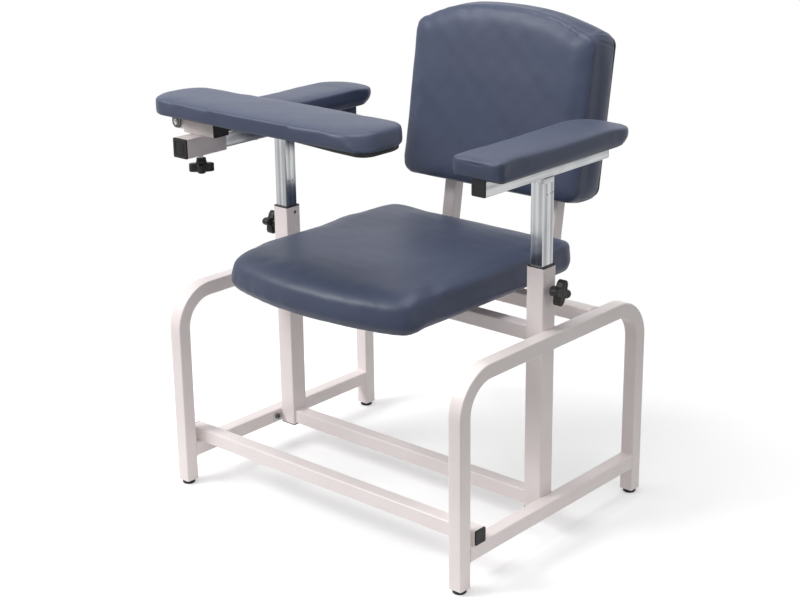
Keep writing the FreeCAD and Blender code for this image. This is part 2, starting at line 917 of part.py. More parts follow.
def sleeve_cap():
    """The cap on the front of the sleeve."""
    body = plug(sleeve_tube, sleeve_wall, sleeve_cap_thickness, sleeve_cap_reach)
    return placed(body, Vector(-arm_x, sleeve_front, right_rail_z), FORWARD)


def arm_bracket():
    """The cross bracket on the sleeve, rounded and notched at its pivot end."""
    length = bracket_outer_reach + bracket_inner_reach
    start = Vector(bracket_outer_x, bracket_place, bracket_z)
    body = tube(sleeve_tube, sleeve_wall, start, LEFT, length)
    half = sleeve_tube / 2 + overrun
    low = Vector(bracket_outer_x - overrun, bracket_place - half, bracket_z)
    high = Vector(pivot_x, bracket_place + half, bracket_top + overrun)
    rounding = Part.makeCylinder(bracket_end_round, 2 * half,
                                 Vector(pivot_x, bracket_place - half, bracket_z), BACKWARD)
    body = body.cut(block(low, high).cut(rounding))
    low = Vector(bracket_outer_x - overrun, bracket_place - half, sleeve_top - overrun)
    high = Vector(bracket_outer_x + bracket_notch_length, bracket_place + half,
                  sleeve_top + bracket_notch_height)
    body = body.cut(block(low, high))
    drill = Vector(pivot_x, bracket_place - half, bracket_z)
    return body.cut(hole(pivot_radius + stud_play, 2 * half, drill, BACKWARD))


def bracket_cap():
    """The cap on the inner end of the bracket."""
    place = Vector(bracket_inner_x, bracket_place, bracket_z)
    return end_cap(sleeve_tube, sleeve_wall, place, LEFT)


def sleeve_knob():
    """The knob under the sleeve."""
    place = Vector(-arm_x, sleeve_knob_place, sleeve_bottom - sleeve_knob_gap)
    return placed(knob(), place, DOWN)


def sleeve_knob_stud():
    """The stud of the sleeve knob, which presses on the rail from below."""
    tip = right_rail_height - stud_tip_gap
    head = sleeve_bottom - sleeve_knob_gap
    place = Vector(-arm_x, sleeve_knob_place, head)
    return placed(knob_stud(tip - head), place, DOWN)


def hinge_screw_places():
    """The places of the countersunk screws, on the hinge plate's lower face."""
    places = []
    for shift in (-hinge_screw_spread / 2, hinge_screw_spread / 2):
        places.append(Vector(pivot_x - hinge_outer_reach + hinge_screw_shift,
                             bracket_place + shift, hinge_bottom))
        places.append(Vector(pivot_x + hinge_inner_reach - hinge_screw_shift,
                             bracket_place + shift, hinge_bottom))
    return places


def hinge_screw(place):
    """A countersunk screw, flush with the hinge plate's lower face."""
    head = Part.makeCone(hinge_screw_head_radius, hinge_screw_radius,
                         hinge_screw_head_height, place)
    shank = Part.makeCylinder(hinge_screw_radius, hinge_screw_length, place)
    return joined([head, shank])


def hinge_screws():
    """The screws that hold the hinge plate to the drawing board."""
    return gathered([hinge_screw(place) for place in hinge_screw_places()])


def pad_hinge():
    """The hinge plate under the drawing board with an ear on each side."""
    inside = sleeve_tube / 2 + ear_play
    outside = inside + hinge_thickness
    low = Vector(pivot_x - hinge_outer_reach, bracket_place - outside, hinge_bottom)
    high = Vector(pivot_x + hinge_inner_reach, bracket_place + outside, hinge_top)
    shapes = [block(low, high)]
    ear_radius = ear_width / 2
    for start in (bracket_place - outside, bracket_place + inside):
        centre = Vector(pivot_x, start, bracket_z)
        shapes.append(Part.makeCylinder(ear_radius, hinge_thickness, centre, BACKWARD))
        low = Vector(pivot_x - ear_radius, start, bracket_z)
        high = Vector(pivot_x + ear_radius, start + hinge_thickness, hinge_top)
        shapes.append(block(low, high))
    body = joined(shapes)
    drill = Vector(pivot_x, bracket_place - outside, bracket_z)
    body = body.cut(hole(pivot_radius, 2 * outside + overrun, drill, BACKWARD))
    for place in hinge_screw_places():
        body = body.cut(hinge_screw(place))
    return body


def pivot_length():
    """The thickness that the pivot bolt clamps: both ears and the gap between them."""
    return sleeve_tube + 2 * (ear_play + hinge_thickness)


def pivot_bolt():
    """The bolt through the hinge ears and the bracket."""
    shank = pivot_length() + pivot_nut_height + pivot_tail
    body = bolt(pivot_head_radius, pivot_head_height, pivot_radius, shank)
    place = Vector(pivot_x, bracket_place - pivot_length() / 2, bracket_z)
    return placed(body, place, FORWARD)


def pivot_nut():
    """The nut on the pivot bolt."""
    corners = []
    for index in range(pivot_nut_sides + 1):
        angle = math.radians(FULL_TURN * index / pivot_nut_sides)
        corners.append(Vector(math.cos(angle), math.sin(angle), 0) * pivot_nut_radius)
    body = Part.Face(Part.makePolygon(corners)).extrude(UP * pivot_nut_height)
    body = body.cut(hole(pivot_radius, pivot_nut_height + overrun, Vector(0, 0, 0), UP))
    place = Vector(pivot_x, bracket_place + pivot_length() / 2, bracket_z)
    return placed(body, place, BACKWARD)


def pad_outline(outer, inner, half_width, bow, corners, height):
    """An outline of the drawing pad between its outer and inner reach."""
    half = (outer + inner) / 2
    wire = outline(half, -half_width, bow, half_width, bow, corners, height)
    middle_x = (inner - outer) / 2 - arm_x
    wire.translate(Vector(middle_x, bracket_place, 0))
    return wire


def pad_base_outline(inset, height):
    """The drawing pad's outline at its base, drawn in by an inset."""
    corners = tuple(corner - inset for corner in pad_base_corners)
    return pad_outline(pad_outer_reach - inset, pad_inner_reach - inset,
                       pad_base_half_width - inset, pad_base_bow, corners, height)


def pad_crease_outline(height):
    """The drawing pad's outline at its top crease."""
    return pad_outline(pad_outer_reach - pad_crease_outer_draw,
                       pad_inner_reach - pad_crease_inner_draw,
                       pad_base_half_width + pad_crease_bulge, pad_crease_bow,
                       pad_crease_corners, height)


def drawing_board():
    """The board inside the drawing pad, bored for the hinge screws."""
    board = Part.Face(pad_base_outline(pad_board_inset, hinge_top))
    board = board.extrude(UP * pad_board_height)
    for place in hinge_screw_places():
        board = board.cut(hinge_screw(place))
    return board


def drawing_cushion():
    """The drawing pad's cushion, with a crowned top and a pocket for the board."""
    crease = hinge_top + pad_height
    sides = soft_body([
        pad_base_outline(0, hinge_top),
        pad_crease_outline(crease + pad_crown + overrun),
    ])
    reach = arm_x + pad_outer_reach + pad_inner_reach
    crown = crown_block(pad_base_half_width + pad_crease_bulge, crease, pad_crown,
                        hinge_top - overrun, -reach, reach)
    crown.rotate(Vector(0, 0, 0), UP, RIGHT_ANGLE)
    crown.translate(Vector(0, bracket_place, 0))
    cushion = sides.common(crown)
    pocket = Part.Face(pad_base_outline(pad_board_inset, hinge_top))
    return cushion.cut(pocket.extrude(UP * pad_board_height))


def both(shape):
    """A left shape and its mirror as one group."""
    return gathered([shape, mirrored(shape)])


def front_rail_place():
    """The Y of the front floor rail, a gap behind the front legs."""
    return frame_tube + front_rail_gap + frame_tube / 2 - frame_depth / 2


def frame_parts():
    """The welded frame with its caps, bushes, feet and bolts."""
    feet = []
    for side in (-1, 1):
        for end in (-1, 1):
            feet.append(placed(foot(), Vector(side * tube_x, end * leg_y, 0)))
    floor_z = stretcher_height + frame_tube * 3 / 2
    cap_place = Vector(frame_width / 2, front_rail_place(), floor_z)
    plug_place = Vector(arm_x, upright_place, stretcher_height)
    return {
        "left_side_frame": side_frame(),
        "right_side_frame": mirrored(side_frame()),
        "feet": gathered(feet),
        "left_stretcher": stretcher(),
        "right_stretcher": mirrored(stretcher()),
        "front_floor_rail": cross_rail(frame_width / 2, front_rail_place(), floor_z),
        "floor_rail_caps": both(end_cap(frame_tube, frame_wall, cap_place, LEFT)),
        "rear_floor_rail": cross_rail(rail_x, upright_place, rear_rail_height + frame_tube / 2),
        "seat_front_rail": bored_rail(rail_x, upright_place),
        "seat_rear_rail": bored_rail(inner_x, seat_rear_rail_place),
        "left_upright": upright(),
        "right_upright": mirrored(upright()),
        "upright_plugs": both(end_cap(upright_tube, upright_wall, plug_place, DOWN)),
        "left_bush": bush(),
        "right_bush": mirrored(bush()),
        "bush_screws": both(bush_screw()),
        "stretcher_bolts": both(stretcher_bolt()),
        "stretcher_washers": both(stretcher_washer()),
    }


def seat_parts():
    """The seat, the back and the supports that carry both."""
    cap_place = Vector(support_spread / 2, support_front, bearer_z)
    support_bolts = [support_bolt(upright_place), support_bolt(seat_rear_rail_place)]
    seat_bolts = [seat_bolt(seat_bolt_front), seat_bolt(seat_bolt_rear)]
    return {
        "left_back_support": back_support(),
        "right_back_support": mirrored(back_support()),
        "support_caps": both(end_cap(frame_tube, frame_wall, cap_place, FORWARD)),
        "support_bolts": gathered(support_bolts + [mirrored(one) for one in support_bolts]),
        "seat_board": seat_board(),
        "seat_cushion": seat_cushion(),
        "seat_bolts": gathered(seat_bolts + [mirrored(one) for one in seat_bolts]),
        "back_board": back_board(),
        "back_battens": back_battens(),
        "back_cushion": back_cushion(),
        "back_cover": back_cover(),
        "cover_screws": cover_screws(),
        "back_bolts": back_bolts(),
    }


def armrest_parts():
    """Both armrests with their height knobs."""
    left_caps = [
        arm_rail_cap(left_rail_height, left_rail_front, FORWARD),
        arm_rail_cap(left_rail_height, left_rail_rear, BACKWARD),
    ]
    left_rail = arm_rail(left_rail_height, left_rail_front, left_rail_rear, left_pad_bolts)
    left_board = arm_board(left_rail_height, left_pad_front, left_pad_rear, left_pad_bolts)
    left_cushion = arm_cushion(left_rail_height, left_pad_front, left_pad_rear)
    right_cap = arm_rail_cap(right_rail_height, right_rail_rear, BACKWARD)
    right_rail = arm_rail(right_rail_height, right_rail_front, right_rail_rear, right_pad_bolts)
    right_board = arm_board(right_rail_height, right_pad_front, right_pad_rear, right_pad_bolts)
    right_cushion = arm_cushion(right_rail_height, right_pad_front, right_pad_rear)
    return {
        "left_post": arm_post(left_rail_height),
        "left_rail": left_rail,
        "left_rail_caps": gathered(left_caps),
        "left_arm_board": left_board,
        "left_arm_cushion": left_cushion,
        "left_arm_bolts": arm_bolts(left_rail_height, left_pad_bolts),
        "left_knob": side_knob(),
        "left_knob_stud": side_knob_stud(),
        "right_post": mirrored(arm_post(right_rail_height)),
        "right_rail": mirrored(right_rail),
        "right_rail_cap": mirrored(right_cap),
        "right_arm_board": mirrored(right_board),
        "right_arm_cushion": mirrored(right_cushion),
        "right_arm_bolts": mirrored(arm_bolts(right_rail_height, right_pad_bolts)),
        "right_knob": mirrored(side_knob()),
        "right_knob_stud": mirrored(side_knob_stud()),
    }


def drawing_arm_parts():
    """The sleeve, its bracket and the drawing pad on its hinge."""
    return {
        "arm_sleeve": arm_sleeve(),
        "sleeve_liners": sleeve_liners(),
        "sleeve_cap": sleeve_cap(),
        "arm_bracket": arm_bracket(),
        "bracket_cap": bracket_cap(),
        "sleeve_knob": sleeve_knob(),
        "sleeve_knob_stud": sleeve_knob_stud(),
        "pad_hinge": pad_hinge(),
        "hinge_screws": hinge_screws(),
        "pivot_bolt": pivot_bolt(),
        "pivot_nut": pivot_nut(),
        "drawing_board": drawing_board(),
        "drawing_cushion": drawing_cushion(),
    }


os.makedirs("parts", exist_ok=True)
for group in (frame_parts(), seat_parts(), armrest_parts(), drawing_arm_parts()):
    for name, shape in group.items():
        shape.exportStep("parts/" + name + ".step")
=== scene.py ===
"""Looks of a phlebotomy chair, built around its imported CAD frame.

The chair faces -Y, +X is the sitter's left and lengths are in metres.
"""

import logging
import math
from dataclasses import dataclass
from enum import Enum
from typing import Callable, Sequence, Union

import bmesh
import bpy
import numpy as np
from mathutils import Matrix, Vector
from mathutils.bvhtree import BVHTree


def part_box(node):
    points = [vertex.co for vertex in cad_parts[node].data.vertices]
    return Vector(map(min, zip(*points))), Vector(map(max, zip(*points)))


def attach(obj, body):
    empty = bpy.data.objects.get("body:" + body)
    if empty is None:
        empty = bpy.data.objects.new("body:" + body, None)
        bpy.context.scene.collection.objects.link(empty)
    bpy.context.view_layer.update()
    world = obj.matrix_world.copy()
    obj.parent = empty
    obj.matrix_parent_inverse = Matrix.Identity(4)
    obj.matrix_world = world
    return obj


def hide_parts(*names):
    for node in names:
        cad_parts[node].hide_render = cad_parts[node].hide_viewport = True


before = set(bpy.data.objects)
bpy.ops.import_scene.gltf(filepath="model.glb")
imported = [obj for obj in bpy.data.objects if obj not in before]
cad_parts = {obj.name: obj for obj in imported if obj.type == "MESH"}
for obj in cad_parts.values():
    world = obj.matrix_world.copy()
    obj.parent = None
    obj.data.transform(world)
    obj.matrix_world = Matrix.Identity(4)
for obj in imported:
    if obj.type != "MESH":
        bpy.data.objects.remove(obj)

LOG = logging.getLogger("chair")
MM = 0.001
MERGE_DISTANCE = 0.01 * MM
FLAT_ANGLE = math.radians(1.0)
CRISP_ANGLE = math.radians(35.0)

SIDES = (-1, 1)
UPRIGHT_X = 0.340
SUPPORT_X = 0.138
PAD_Y = -0.223
STRETCHER_Z = 0.075
LEAN = math.radians(9.0)
BACK_HEIGHT = 0.391
BACK_FOOT = Vector((0.0, 0.254, 0.602))
BACK_REAR = Vector((0.0, math.cos(LEAN), -math.sin(LEAN)))
BACK_UP = Vector((0.0, math.sin(LEAN), math.cos(LEAN)))


class Axis(Enum):
    """Axes that a round piece can stand along."""

    X = (1, 0, 0)
    Y = (0, 1, 0)
    Z = (0, 0, 1)
    MINUS_X = (-1, 0, 0)
    MINUS_Y = (0, -1, 0)
    MINUS_Z = (0, 0, -1)


class Slot(Enum):
    """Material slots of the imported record."""

    PAINT = "white_paint"
    CHROME = "chrome"
    STEEL = "steel"
    DARK_STEEL = "dark_steel"
    PLASTIC = "black_plastic"
    VINYL = "vinyl"
    BOARD = "board"


# ---------------------------------------------------------------- shaders


class Value:
    """A node's output socket that takes part in Python maths."""

    def __init__(self, graph: "Graph", socket: bpy.types.NodeSocket) -> None:
        """Keep the output socket and the graph that it belongs to."""
        self.graph = graph
        self.socket = socket

    def _maths(self, operation: str, *terms: "Term") -> "Value":
        """Add one Math node with its inputs in order, and give its result."""
        return self.graph.node("ShaderNodeMath", {"operation": operation}, dict(enumerate(terms)))

    def __add__(self, other: "Term") -> "Value":
        """Add."""
        return self._maths("ADD", self, other)

    def __radd__(self, other: "Term") -> "Value":
        """Add, with the socket on the right."""
        return self._maths("ADD", other, self)

    def __sub__(self, other: "Term") -> "Value":
        """Subtract."""
        return self._maths("SUBTRACT", self, other)

    def __rsub__(self, other: "Term") -> "Value":
        """Subtract, with the socket on the right."""
        return self._maths("SUBTRACT", other, self)

    def __mul__(self, other: "Term") -> "Value":
        """Multiply."""
        return self._maths("MULTIPLY", self, other)

    def __rmul__(self, other: "Term") -> "Value":
        """Multiply, with the socket on the right."""
        return self._maths("MULTIPLY", other, self)

    def least(self, other: "Term") -> "Value":
        """Give the smaller of two values."""
        return self._maths("MINIMUM", self, other)

    def step(self, low: float, high: float) -> "Value":
        """Rise smoothly from 0 at one value to 1 at another.

        Args:
            low: Where the rise starts.
            high: Where the rise ends.

        Returns:
            The smooth step.
        """
        settings = {"interpolation_type": "SMOOTHSTEP"}
        inputs = {"Value": self, "From Min": low, "From Max": high}
        return self.graph.node("ShaderNodeMapRange", settings, inputs)


Term = Union[Value, float]
Colour = tuple[float, float, float]
WHITE: Colour = (1.0, 1.0, 1.0)


class Graph:
    """The node tree of a material or a world."""

    def __init__(self, owner: bpy.types.Material | bpy.types.World) -> None:
        """Start with no nodes.

        Args:
            owner: The material or world that the nodes belong to.
        """
        self.owner = owner
        owner.use_nodes = True
        self.tree = owner.node_tree
        self.tree.nodes.clear()

    @classmethod
    def material(cls, name: str) -> "Graph":
        """Start a new material of a name."""
        return cls(bpy.data.materials.new(name))

    def node(
        self,
        kind: str,
        settings: dict[str, object] | None = None,
        inputs: dict[Union[str, int], object] | None = None,
        output: Union[str, int] = 0,
    ) -> Value:
        """Add a node.

        Args:
            kind: The node's type.
            settings: Its settings; "stops" is a ramp's list of place and colour.
            inputs: Values or links of its sockets, by name or number.
            output: The wanted output, by name or number.

        Returns:
            The wanted output.
        """
        node = self.tree.nodes.new(kind)
        for key, setting in (settings or {}).items():
            if key == "stops":
                elements = node.color_ramp.elements
                while len(elements) < len(setting):
                    elements.new(0.5)
                for element, (place, colour) in zip(elements, setting):
                    element.position = place
                    element.color = (*colour, 1.0)
            else:
                setattr(node, key, setting)
        for key, term in (inputs or {}).items():
            socket = node.inputs[key]
            if isinstance(term, Value):
                self.tree.links.new(term.socket, socket)
            elif isinstance(term, tuple) and len(term) == 3 and socket.type == "RGBA":
                socket.default_value = (*term, 1.0)
            else:
                socket.default_value = term
        return Value(self, node.outputs[output])

    def place(self, scale: Sequence[float] = (1.0, 1.0, 1.0)) -> Value:
        """Give object coordinates, stretched along the axes.

        Args:
            scale: How often a pattern repeats along each axis.

        Returns:
            The coordinates.
        """
        where = self.node("ShaderNodeTexCoord", output="Object")
        if tuple(scale) == (1.0, 1.0, 1.0):
            return where
        return self.node("ShaderNodeMapping", None, {"Vector": where, "Scale": tuple(scale)})

    def noise(self, scale: float, detail: float = 2.0, where: Value | None = None) -> Value:
        """Give a noise from 0 to 1, of some waves a metre and some octaves."""
        inputs = {"Vector": where or self.place(), "Scale": scale, "Detail": detail}
        return self.node("ShaderNodeTexNoise", None, inputs)

    def cells(self, scale: float, feature: str = "F1", where: Value | None = None) -> Value:
        """Give the distance of a cell pattern with some cells a metre."""
        inputs = {"Vector": where or self.place(), "Scale": scale}
        return self.node("ShaderNodeTexVoronoi", {"feature": feature}, inputs, "Distance")

    def blend(self, factor: Term, first: object, second: object) -> Value:
        """Mix two colours, 0 for the first and 1 for the second."""
        inputs = {0: factor, 6: first, 7: second}
        return self.node("ShaderNodeMix", {"data_type": "RGBA"}, inputs, 2)

    def bump(
        self, height: Value, strength: float, distance: float, under: Value | None = None
    ) -> Value:
        """Turn a height into a normal.

        Args:
            height: The height, about 0 to 1.
            strength: How much of it shows.
            distance: The relief's depth in metres.
            under: A coarser bump that this one lies on.

        Returns:
            The normal.
        """
        inputs = {"Height": height, "Strength": strength, "Distance": distance}
        if under is not None:
            inputs["Normal"] = under
        return self.node("ShaderNodeBump", None, inputs)

    def surface(self, inputs: dict[str, object]) -> bpy.types.Material:
        """Finish the material with one Principled shader."""
        shader = self.node("ShaderNodeBsdfPrincipled", None, inputs)
        return self.end(shader, "ShaderNodeOutputMaterial")

    def end(self, shader: Value, kind: str) -> bpy.types.Material | bpy.types.World:
        """Link a shader to the output.

        Args:
            shader: The shader.
            kind: The output node's type.

        Returns:
            The material or world.
        """
        output = self.tree.nodes.new(kind)
        self.tree.links.new(shader.socket, output.inputs["Surface"])
        return self.owner


@dataclass(frozen=True)
class Vinyl:
    """Slate blue upholstery vinyl with a fine pressed grain, and painted shade in the grain's
    valleys.
    """

    name: str = "slate_vinyl"
    light: Colour = (0.046, 0.060, 0.110)
    dark: Colour = (0.038, 0.050, 0.094)
    grain_valley_shade: Colour = (0.026, 0.034, 0.064)
    rubbed: Colour = (0.062, 0.078, 0.134)
    roughness: float = 0.40
    grain_scale: float = 760.0
    grain_depth: float = 0.12 * MM
    grain_drift: float = 1.2 * MM
    cushion_depth: float = 1.6 * MM

    def make(self) -> bpy.types.Material:
        """Build the material.

        Returns:
            The material.
        """
        graph = Graph.material(self.name)
        bend = graph.noise(300.0, 2.0)
        where = graph.node(
            "ShaderNodeVectorMath",
            {"operation": "MULTIPLY_ADD"},
            {0: bend, 1: (self.grain_drift,) * 3, 2: graph.place()},
        )
        cells = graph.cells(self.grain_scale, "DISTANCE_TO_EDGE", where)
        crease = 1.0 - cells.step(0.0, 0.20)
        broad = graph.noise(6.0, 3.0)
        fine = graph.noise(2600.0, 2.0)
        worn = graph.noise(24.0, 5.0).step(0.56, 0.78)
        tone = graph.blend(broad.step(0.3, 0.7), self.light, self.dark)
        tone = graph.blend(worn * 0.22, tone, self.rubbed)
        # painted shade: the grain's valleys are darkened towards a deeper blue
        colour = graph.blend(crease * 0.40, tone, self.grain_valley_shade)
        soft = graph.bump(graph.noise(38.0, 3.0), 0.16, self.cushion_depth)
        grain = (1.0 - crease) * 0.8 + fine * 0.2
        normal = graph.bump(grain, 0.32, self.grain_depth, soft)
        rough = self.roughness + crease * 0.10 + (broad - 0.5) * 0.12 - worn * 0.05
        return graph.surface({
            "Base Color": colour,
            "Roughness": rough,
            "Normal": normal,
            "IOR": 1.42,
            "Sheen Weight": 0.04,
            "Sheen Roughness": 0.5,
        })


@dataclass(frozen=True)
class Paint:
    """Off-white powder coat with a faint orange peel and scuffs."""

    name: str = "white_powder_coat"
    colour: Colour = (0.890, 0.815, 0.805)
    shade: Colour = (0.830, 0.745, 0.735)
    roughness: float = 0.36
    peel_scale: float = 420.0
    peel_depth: float = 0.18 * MM

    def make(self) -> bpy.types.Material:
        """Build the material.

        Returns:
            The material.
        """
        graph = Graph.material(self.name)
        broad = graph.noise(9.0, 4.0)
        peel = graph.noise(self.peel_scale, 2.0)
        fine = graph.noise(1500.0, 1.0)
        scuff = graph.noise(60.0, 6.0, graph.place((1.0, 1.0, 3.0))).step(0.62, 0.80)
        tone = graph.blend(broad.step(0.35, 0.75) * 0.6, self.colour, self.shade)
        colour = graph.blend(scuff * 0.35, tone, self.shade)
        normal = graph.bump(peel * 0.7 + fine * 0.3, 0.22, self.peel_depth)
        rough = self.roughness + (peel - 0.5) * 0.08 + scuff * 0.14
        return graph.surface({
            "Base Color": colour,
            "Roughness": rough,
            "Normal": normal,
            "Coat Weight": 0.25,
            "Coat Roughness": 0.22,
        })


@dataclass(frozen=True)
class Metal:
    """A bare or plated metal with fine polishing lines along one axis, and light and dark streaks
    of painted reflection in its colour.

    Above the rail height the painted reflection streaks run level, along the armrests' rails.
    """

    name: str
    light: Colour
    dark: Colour
    roughness: float
    lines: tuple[float, float, float] = (900.0, 900.0, 14.0)
    reflection_streaks: tuple[float, float, float] = (110.0, 110.0, 1.6)
    rail_height: float | None = None
    line_depth: float = 0.04 * MM
    spot_scale: float = 260.0

    def make(self) -> bpy.types.Material:
        """Build the material.

        Returns:
            The material.
        """
        graph = Graph.material(self.name)
        lines = graph.noise(1.0, 3.0, graph.place(self.lines))
        cloud = graph.noise(18.0, 4.0)
        reflection_streaks = graph.noise(1.0, 4.0, graph.place(self.reflection_streaks))
        if self.rail_height is not None:
            where = graph.node("ShaderNodeSeparateXYZ", None, {0: graph.place()}, "Z")
            on_rail = where.step(self.rail_height, self.rail_height + 0.4 * MM)
            x, y, z = self.reflection_streaks
            level = graph.noise(1.0, 4.0, graph.place((x, z, y)))
            reflection_streaks = reflection_streaks + (level - reflection_streaks) * on_rail
        spots = graph.cells(self.spot_scale).step(0.0, 0.12)
        # painted reflection: light and dark streaks, with a little cloud, are blended into the
        # base colour in place of a mirrored room
        share = reflection_streaks.step(0.36, 0.66) * 0.8 + cloud.step(0.4, 0.8) * 0.2
        tone = graph.blend(share, self.light, self.dark)
        colour = graph.blend((1.0 - spots) * 0.25, tone, self.dark)
        normal = graph.bump(lines, 0.05, self.line_depth)
        rough = self.roughness + (lines - 0.5) * 0.08 + cloud.step(0.45, 0.8) * 0.07
        return graph.surface({
            "Base Color": colour,
            "Metallic": 1.0,
            "Roughness": rough,
            "Normal": normal,
        })


@dataclass(frozen=True)
class Plastic:
    """Moulded black plastic with a fine spark texture."""

    name: str = "black_moulding"
    colour: Colour = (0.0125, 0.0115, 0.0118)
    worn: Colour = (0.030, 0.028, 0.028)
    roughness: float = 0.42
    spark_scale: float = 1900.0
    spark_depth: float = 0.08 * MM

    def make(self) -> bpy.types.Material:
        """Build the material.

        Returns:
            The material.
        """
        graph = Graph.material(self.name)
        spark = graph.noise(self.spark_scale, 3.0)
        cloud = graph.noise(40.0, 4.0)
        dust = graph.noise(600.0, 5.0).step(0.58, 0.78)
        wear = cloud.step(0.4, 0.8) * 0.5 + dust * 0.3
        rough = self.roughness + (spark - 0.5) * 0.12 + dust * 0.12
        return graph.surface({
            "Base Color": graph.blend(wear, self.colour, self.worn),
            "Roughness": rough,
            "Normal": graph.bump(spark, 0.35, self.spark_depth),
            "IOR": 1.36,
        })


@dataclass(frozen=True)
class Board:
    """Dark stained plywood with its grain along the board."""

    name: str = "black_board"
    colour: Colour = (0.022, 0.021, 0.022)
    worn: Colour = (0.060, 0.052, 0.044)
    roughness: float = 0.68
    grain_depth: float = 0.2 * MM

    def make(self) -> bpy.types.Material:
        """Build the material.

        Returns:
            The material.
        """
        graph = Graph.material(self.name)
        grain = graph.noise(60.0, 6.0, graph.place((1.0, 6.0, 14.0)))
        pores = graph.noise(900.0, 2.0)
        colour = graph.blend(grain.step(0.45, 0.75) * 0.6, self.colour, self.worn)
        return graph.surface({
            "Base Color": colour,
            "Roughness": self.roughness + (grain - 0.5) * 0.2,
            "Normal": graph.bump(grain * 0.6 + pores * 0.4, 0.3, self.grain_depth),
        })


ALL_WAYS = (300.0, 300.0, 300.0)
FINISHES = {
    Slot.PAINT: Paint(),
    # the metals' light and dark colours are the two ends of their painted reflection
    Slot.CHROME: Metal(
        "bright_chrome", (0.61, 0.62, 0.63), (0.29, 0.30, 0.31), 0.12, rail_height=0.7235
    ),
    Slot.STEEL: Metal("zinc_plate", (0.62, 0.62, 0.60), (0.44, 0.44, 0.44), 0.30, ALL_WAYS),
    Slot.DARK_STEEL: Metal("dark_steel", (0.16, 0.16, 0.17), (0.08, 0.08, 0.09), 0.38, ALL_WAYS),
    Slot.PLASTIC: Plastic(),
    Slot.VINYL: Vinyl(),
    Slot.BOARD: Board(),
}


class Wardrobe:
    """Makes each finish once and dresses pieces and CAD nodes in it."""

    def __init__(self) -> None:
        """Start with no finish made."""
        self.made: dict[str, bpy.types.Material] = {}

    def finish(self, slot: Slot) -> bpy.types.Material:
        """Give the material of a slot, made on first use.

        Args:
            slot: The slot.

        Returns:
            Its material.
        """
        source = FINISHES[slot]
        if source.name not in self.made:
            self.made[source.name] = source.make()
        return self.made[source.name]

    def dress(self, piece: bpy.types.Object, slot: Slot) -> None:
        """Put a slot's finish on a piece."""
        piece.data.materials.clear()
        piece.data.materials.append(self.finish(slot))

    def dress_nodes(self) -> None:
        """Dress every CAD node in the finish of its own slot."""
        for name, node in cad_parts.items():
            materials = node.data.materials
            slot = Slot(materials[0].name.split(".")[0])
            for index in range(len(materials)):
                materials[index] = self.finish(slot)
            LOG.info("%s: CAD node in %s", name, slot.value)


WARDROBE = Wardrobe()


# ---------------------------------------------------------------- pieces


def placed(name: str, data: bpy.types.ID) -> bpy.types.Object:
    """Add an object to the scene.

    Args:
        name: Its name.
        data: Its mesh, curve, light or camera.

    Returns:
        The object.
    """
    item = bpy.data.objects.new(name, data)
    bpy.context.scene.collection.objects.link(item)
    return item


def hand_over(
    piece: bpy.types.Object, slot: Slot, body: str, replaces: Sequence[str],
    sharp_angle: float | None = None,
) -> None:
    """Shade and dress a piece, and let it ride on its body.

    Args:
        piece: The piece.
        slot: Its material slot.
        body: The CAD body that carries it.
        replaces: CAD nodes that it stands for.
        sharp_angle: Edges over this many degrees stay sharp; None rounds all.
    """
    data = piece.data
    data.polygons.foreach_set("use_smooth", [True] * len(data.polygons))
    if sharp_angle is not None:
        data.set_sharp_from_angle(angle=math.radians(sharp_angle))
    WARDROBE.dress(piece, slot)
    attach(piece, body)
    if replaces:
        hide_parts(*replaces)
    LOG.info("%s: %d faces on %s", piece.name, len(data.polygons), body)


def finished(
    name: str, mesh: bmesh.types.BMesh, slot: Slot, body: str,
    replaces: Sequence[str] = (), sharp_angle: float = 40.0,
) -> None:
    """Turn a bmesh into a dressed piece that rides on its body.

    Args:
        name: The piece's name.
        mesh: Its shape, in place; it is freed.
        slot: Its material slot.
        body: The CAD body that carries it.
        replaces: CAD nodes that it stands for.
        sharp_angle: Edges over this many degrees stay sharp.
    """
    bmesh.ops.recalc_face_normals(mesh, faces=mesh.faces)
    data = bpy.data.meshes.new(name)
    mesh.to_mesh(data)
    mesh.free()
    hand_over(placed(name, data), slot, body, replaces, sharp_angle)


def merged(node: str) -> bmesh.types.BMesh:
    """Copy a CAD node's loose triangles, joined at their corners.

    Args:
        node: The node.

    Returns:
        The copy.
    """
    mesh = bmesh.new()
    mesh.from_mesh(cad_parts[node].data)
    bmesh.ops.remove_doubles(mesh, verts=mesh.verts, dist=MERGE_DISTANCE)
    return mesh


def join_flats(mesh: bmesh.types.BMesh) -> None:
    """Join the triangles of each flat face."""
    bmesh.ops.dissolve_limit(
        mesh, angle_limit=FLAT_ANGLE, verts=mesh.verts, edges=mesh.edges,
        delimit=set(), use_dissolve_boundaries=False,
    )


def relax(mesh: bmesh.types.BMesh, verts: Sequence[bmesh.types.BMVert]) -> None:
    """Move some points halfway to the middle of their neighbours."""
    bmesh.ops.smooth_vert(
        mesh, verts=verts, factor=0.5, use_axis_x=True, use_axis_y=True, use_axis_z=True
    )


# ------------------------------------------------------------------ forms


def standing(place: Sequence[float], axis: Axis | Vector = Axis.Z, spin: float = 0.0) -> Matrix:
    """Give the matrix that stands a form at a place along an axis.

    Args:
        place: Where the form's own origin goes.
        axis: Where its own Z axis points.
        spin: Its turn about that axis, in degrees.

    Returns:
        The matrix.
    """
    along = axis if isinstance(axis, Vector) else Vector(axis.value)
    turn = along.to_track_quat("Z", "Y").to_matrix().to_4x4()
    return Matrix.Translation(place) @ turn @ Matrix.Rotation(math.radians(spin), 4, "Z")


